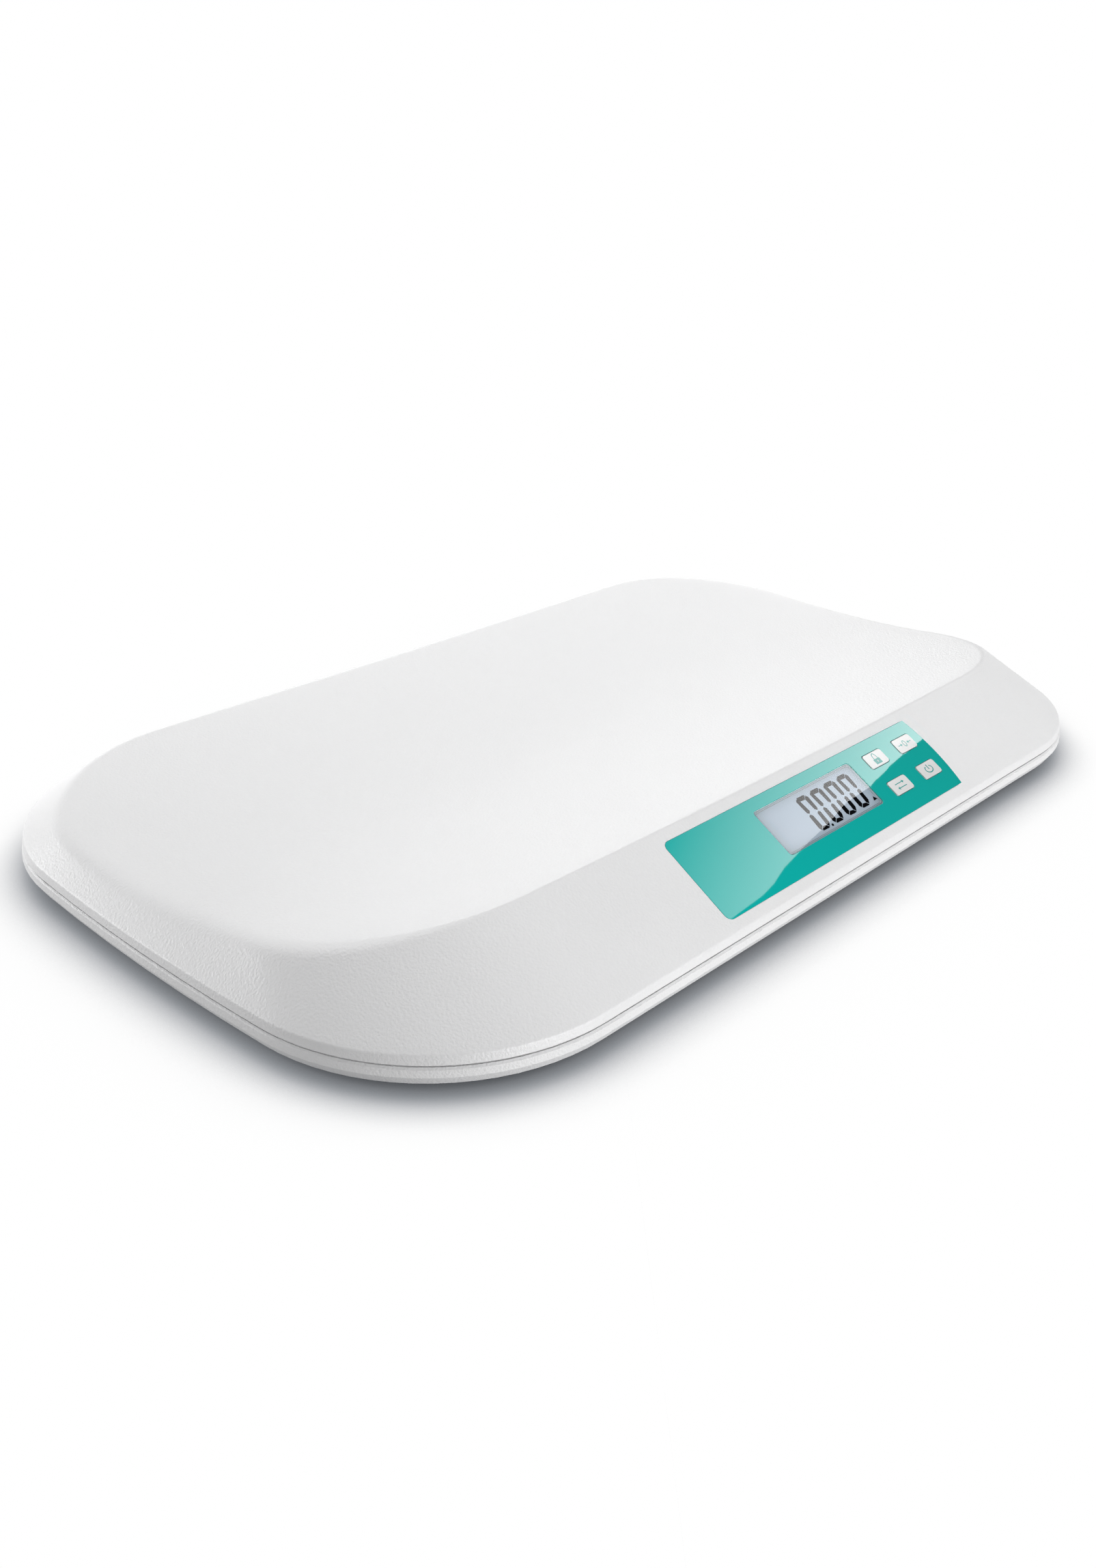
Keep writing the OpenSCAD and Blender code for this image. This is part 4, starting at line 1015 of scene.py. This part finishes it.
class SCALE_OT_stage(bpy.types.Operator):
    """Sets the camera, the floor, the lamps and the card that the overlay mirrors"""

    bl_idname = "scale.stage"
    bl_label = "Stage"

    def execute(self, context):
        scene, studio, form = context.scene, context.scene.scale_studio, context.scene.scale_cradle
        scene.view_settings.view_transform = "Standard"
        camera = bpy.data.cameras.new("camera")
        camera.lens = SENSOR * FOCAL / PICTURE_HEIGHT
        camera.sensor_width = SENSOR
        camera.shift_x = (PICTURE_MIDDLE_X - OPTICAL_X) / PICTURE_HEIGHT
        camera.shift_y = (OPTICAL_Y - PICTURE_MIDDLE_Y) / PICTURE_HEIGHT
        camera.clip_start = 0.01
        eye = bpy.data.objects.new("camera", camera)
        eye.matrix_world = Matrix.Translation(CAMERA_AT) @ camera_turn()
        scene.collection.objects.link(eye)
        scene.camera = eye
        self.world(scene, studio)
        self.floor(studio)
        self.card(form, studio)
        for name, azimuth, height, width, depth in LAMPS:
            self.lamp(name, azimuth, height, width, depth, getattr(studio, name))
        return {"FINISHED"}

    def world(self, scene, studio):
        world = bpy.data.worlds.new("studio")
        scene.world = world
        world.use_nodes = True
        tree = Tree(world.node_tree)
        ground = world.node_tree.nodes["Background"]
        tree.link(tree.remap(seen_directly(tree), 0, 1, studio.world, 1.0), ground.inputs["Strength"])
        ground.inputs["Color"].default_value = (1, 1, 1, 1)

    def floor(self, studio):
        """A white floor with a painted contact shadow close round what stands on it, from ambient occlusion,
        and clear when seen from below.
        """
        material, tree, shader = new_material("Floor")
        material.node_tree.nodes.remove(shader)
        # Painted shadow: what the camera sees of the floor is a glow that darkens with ambient occlusion, not
        # the lamps' shadows.
        contact_shadow = tree.add("ShaderNodeAmbientOcclusion", samples=16)
        contact_shadow.inputs["Distance"].default_value = 0.25
        tone = tree.add("ShaderNodeValToRGB")
        tree.link(contact_shadow.outputs["AO"], tone.inputs["Fac"])
        for place, level in ((0.41, (0.28, 0.295, 0.315)), (0.61, (0.485, 0.495, 0.515))):
            tone.color_ramp.elements.new(place).color = (*level, 1)
        tone.color_ramp.elements[0].color = (0.015, 0.017, 0.02, 1)
        tone.color_ramp.elements[-1].position = 0.89
        glow = tree.add("ShaderNodeEmission")
        tree.link(tone.outputs["Color"], glow.inputs["Color"])
        matt = tree.add("ShaderNodeBsdfDiffuse")
        matt.inputs["Color"].default_value = (studio.bounce, studio.bounce, studio.bounce, 1)
        mix = tree.add("ShaderNodeMixShader")
        tree.link(seen_directly(tree), mix.inputs[0])
        tree.link(matt.outputs[0], mix.inputs[1])
        tree.link(glow.outputs[0], mix.inputs[2])
        below = tree.add("ShaderNodeNewGeometry").outputs["Backfacing"]
        open_to = tree.math("MAXIMUM", below, tree.add("ShaderNodeLightPath").outputs["Is Shadow Ray"])
        pane = tree.add("ShaderNodeMixShader")
        tree.link(open_to, pane.inputs[0])
        tree.link(mix.outputs[0], pane.inputs[1])
        tree.link(tree.add("ShaderNodeBsdfTransparent").outputs[0], pane.inputs[2])
        tree.link(pane.outputs[0], material.node_tree.nodes["Material Output"].inputs["Surface"])
        bm = bmesh.new()
        bmesh.ops.create_grid(bm, x_segments=1, y_segments=1, size=FLOOR_HALF)
        bmesh.ops.translate(bm, vec=(0, 0, -0.02 * MM), verts=bm.verts)
        new_piece("floor", bm, material, None)

    def card(self, form, studio):
        """A lit card whose curved edge shows in the overlay, and a dark flag behind it that only mirrors."""
        lit, tree, shader = new_material("Lit card")
        lit.node_tree.nodes.remove(shader)
        glow = tree.add("ShaderNodeEmission")
        corner, along, down = mirrored_card(form, CARD_REACH, [(-90, 47), (60, 47), (-90, 8)])
        along, down = along - corner, down - corner
        normal = along.cross(down)
        slope = (CARD_RIGHT - CARD_LEFT) * down.cross(normal)
        slope += (CARD_LOW - CARD_LEFT) * normal.cross(along)
        slope /= normal.length_squared
        place = tree.vector("SUBTRACT", tree.add("ShaderNodeTexCoord").outputs["Object"], corner)
        level = tree.math("ADD", tree.vector("DOT_PRODUCT", place, slope), CARD_LEFT)
        strength = tree.math("MULTIPLY", tree.math("MAXIMUM", level, 0.0), studio.card)
        tree.link(strength, glow.inputs["Strength"])
        tree.link(glow.outputs[0], lit.node_tree.nodes["Material Output"].inputs["Surface"])
        upper = [(150, 75), (60, 80), (-60, 80), (-150, 75)]
        stage_face("lit_card", mirrored_card(form, CARD_REACH, list(GLOSS_EDGE) + upper), lit)
        dark, tree, shader = new_material("Dark flag")
        shader.inputs["Base Color"].default_value = (0.004, 0.004, 0.004, 1)
        shader.inputs["Specular IOR Level"].default_value = 0
        spots = mirrored_card(form, CARD_REACH + 0.06, [(-190, -40), (190, -40), (190, 90), (-190, 90)])
        flag = stage_face("dark_flag", spots, dark)
        flag.visible_diffuse = flag.visible_shadow = flag.visible_transmission = False

    def lamp(self, name, azimuth, height, width, depth, power):
        """A soft box on a dome round the scale, turned to its middle."""
        light = bpy.data.lights.new(name, "AREA")
        light.shape, light.size, light.size_y, light.energy = "RECTANGLE", width, depth, power
        lamp = bpy.data.objects.new(name, light)
        turn = Matrix.Rotation(math.radians(azimuth), 4, "Z")
        turn @= Matrix.Rotation(math.radians(90 - height), 4, "Y")
        out = Matrix.Translation((0, 0, LAMP_REACH))
        lamp.matrix_world = turn @ out @ Matrix.Rotation(math.pi / 2, 4, "Z")
        lamp.visible_camera = False
        bpy.context.scene.collection.objects.link(lamp)


class SCALE_PT_panel(bpy.types.Panel):
    """Lists the steps of the build"""

    bl_label = "Baby scale"
    bl_space_type = "VIEW_3D"
    bl_region_type = "UI"
    bl_category = "Scale"

    def draw(self, context):
        for step in STEPS:
            self.layout.operator(step.bl_idname)


GROUPS = (
    (CradleForm, "scale_cradle"), (PanelForm, "scale_panel"), (PrintForm, "scale_prints"),
    (Finishes, "scale_finishes"), (Studio, "scale_studio"),
)
STEPS = (
    SCALE_OT_stage, SCALE_OT_cradle, SCALE_OT_base, SCALE_OT_feet, SCALE_OT_overlay, SCALE_OT_display,
    SCALE_OT_keys, SCALE_OT_inner,
)


def register():
    for group, name in GROUPS:
        bpy.utils.register_class(group)
        setattr(bpy.types.Scene, name, PointerProperty(type=group))
    for step in STEPS:
        bpy.utils.register_class(step)
    bpy.utils.register_class(SCALE_PT_panel)


def unregister():
    bpy.utils.unregister_class(SCALE_PT_panel)
    for step in reversed(STEPS):
        bpy.utils.unregister_class(step)
    for group, name in reversed(GROUPS):
        delattr(bpy.types.Scene, name)
        bpy.utils.unregister_class(group)


def main():
    register()
    for step in STEPS:
        group, name = step.bl_idname.split(".")
        getattr(getattr(bpy.ops, group), name)()


if __name__ == "__main__":
    main()
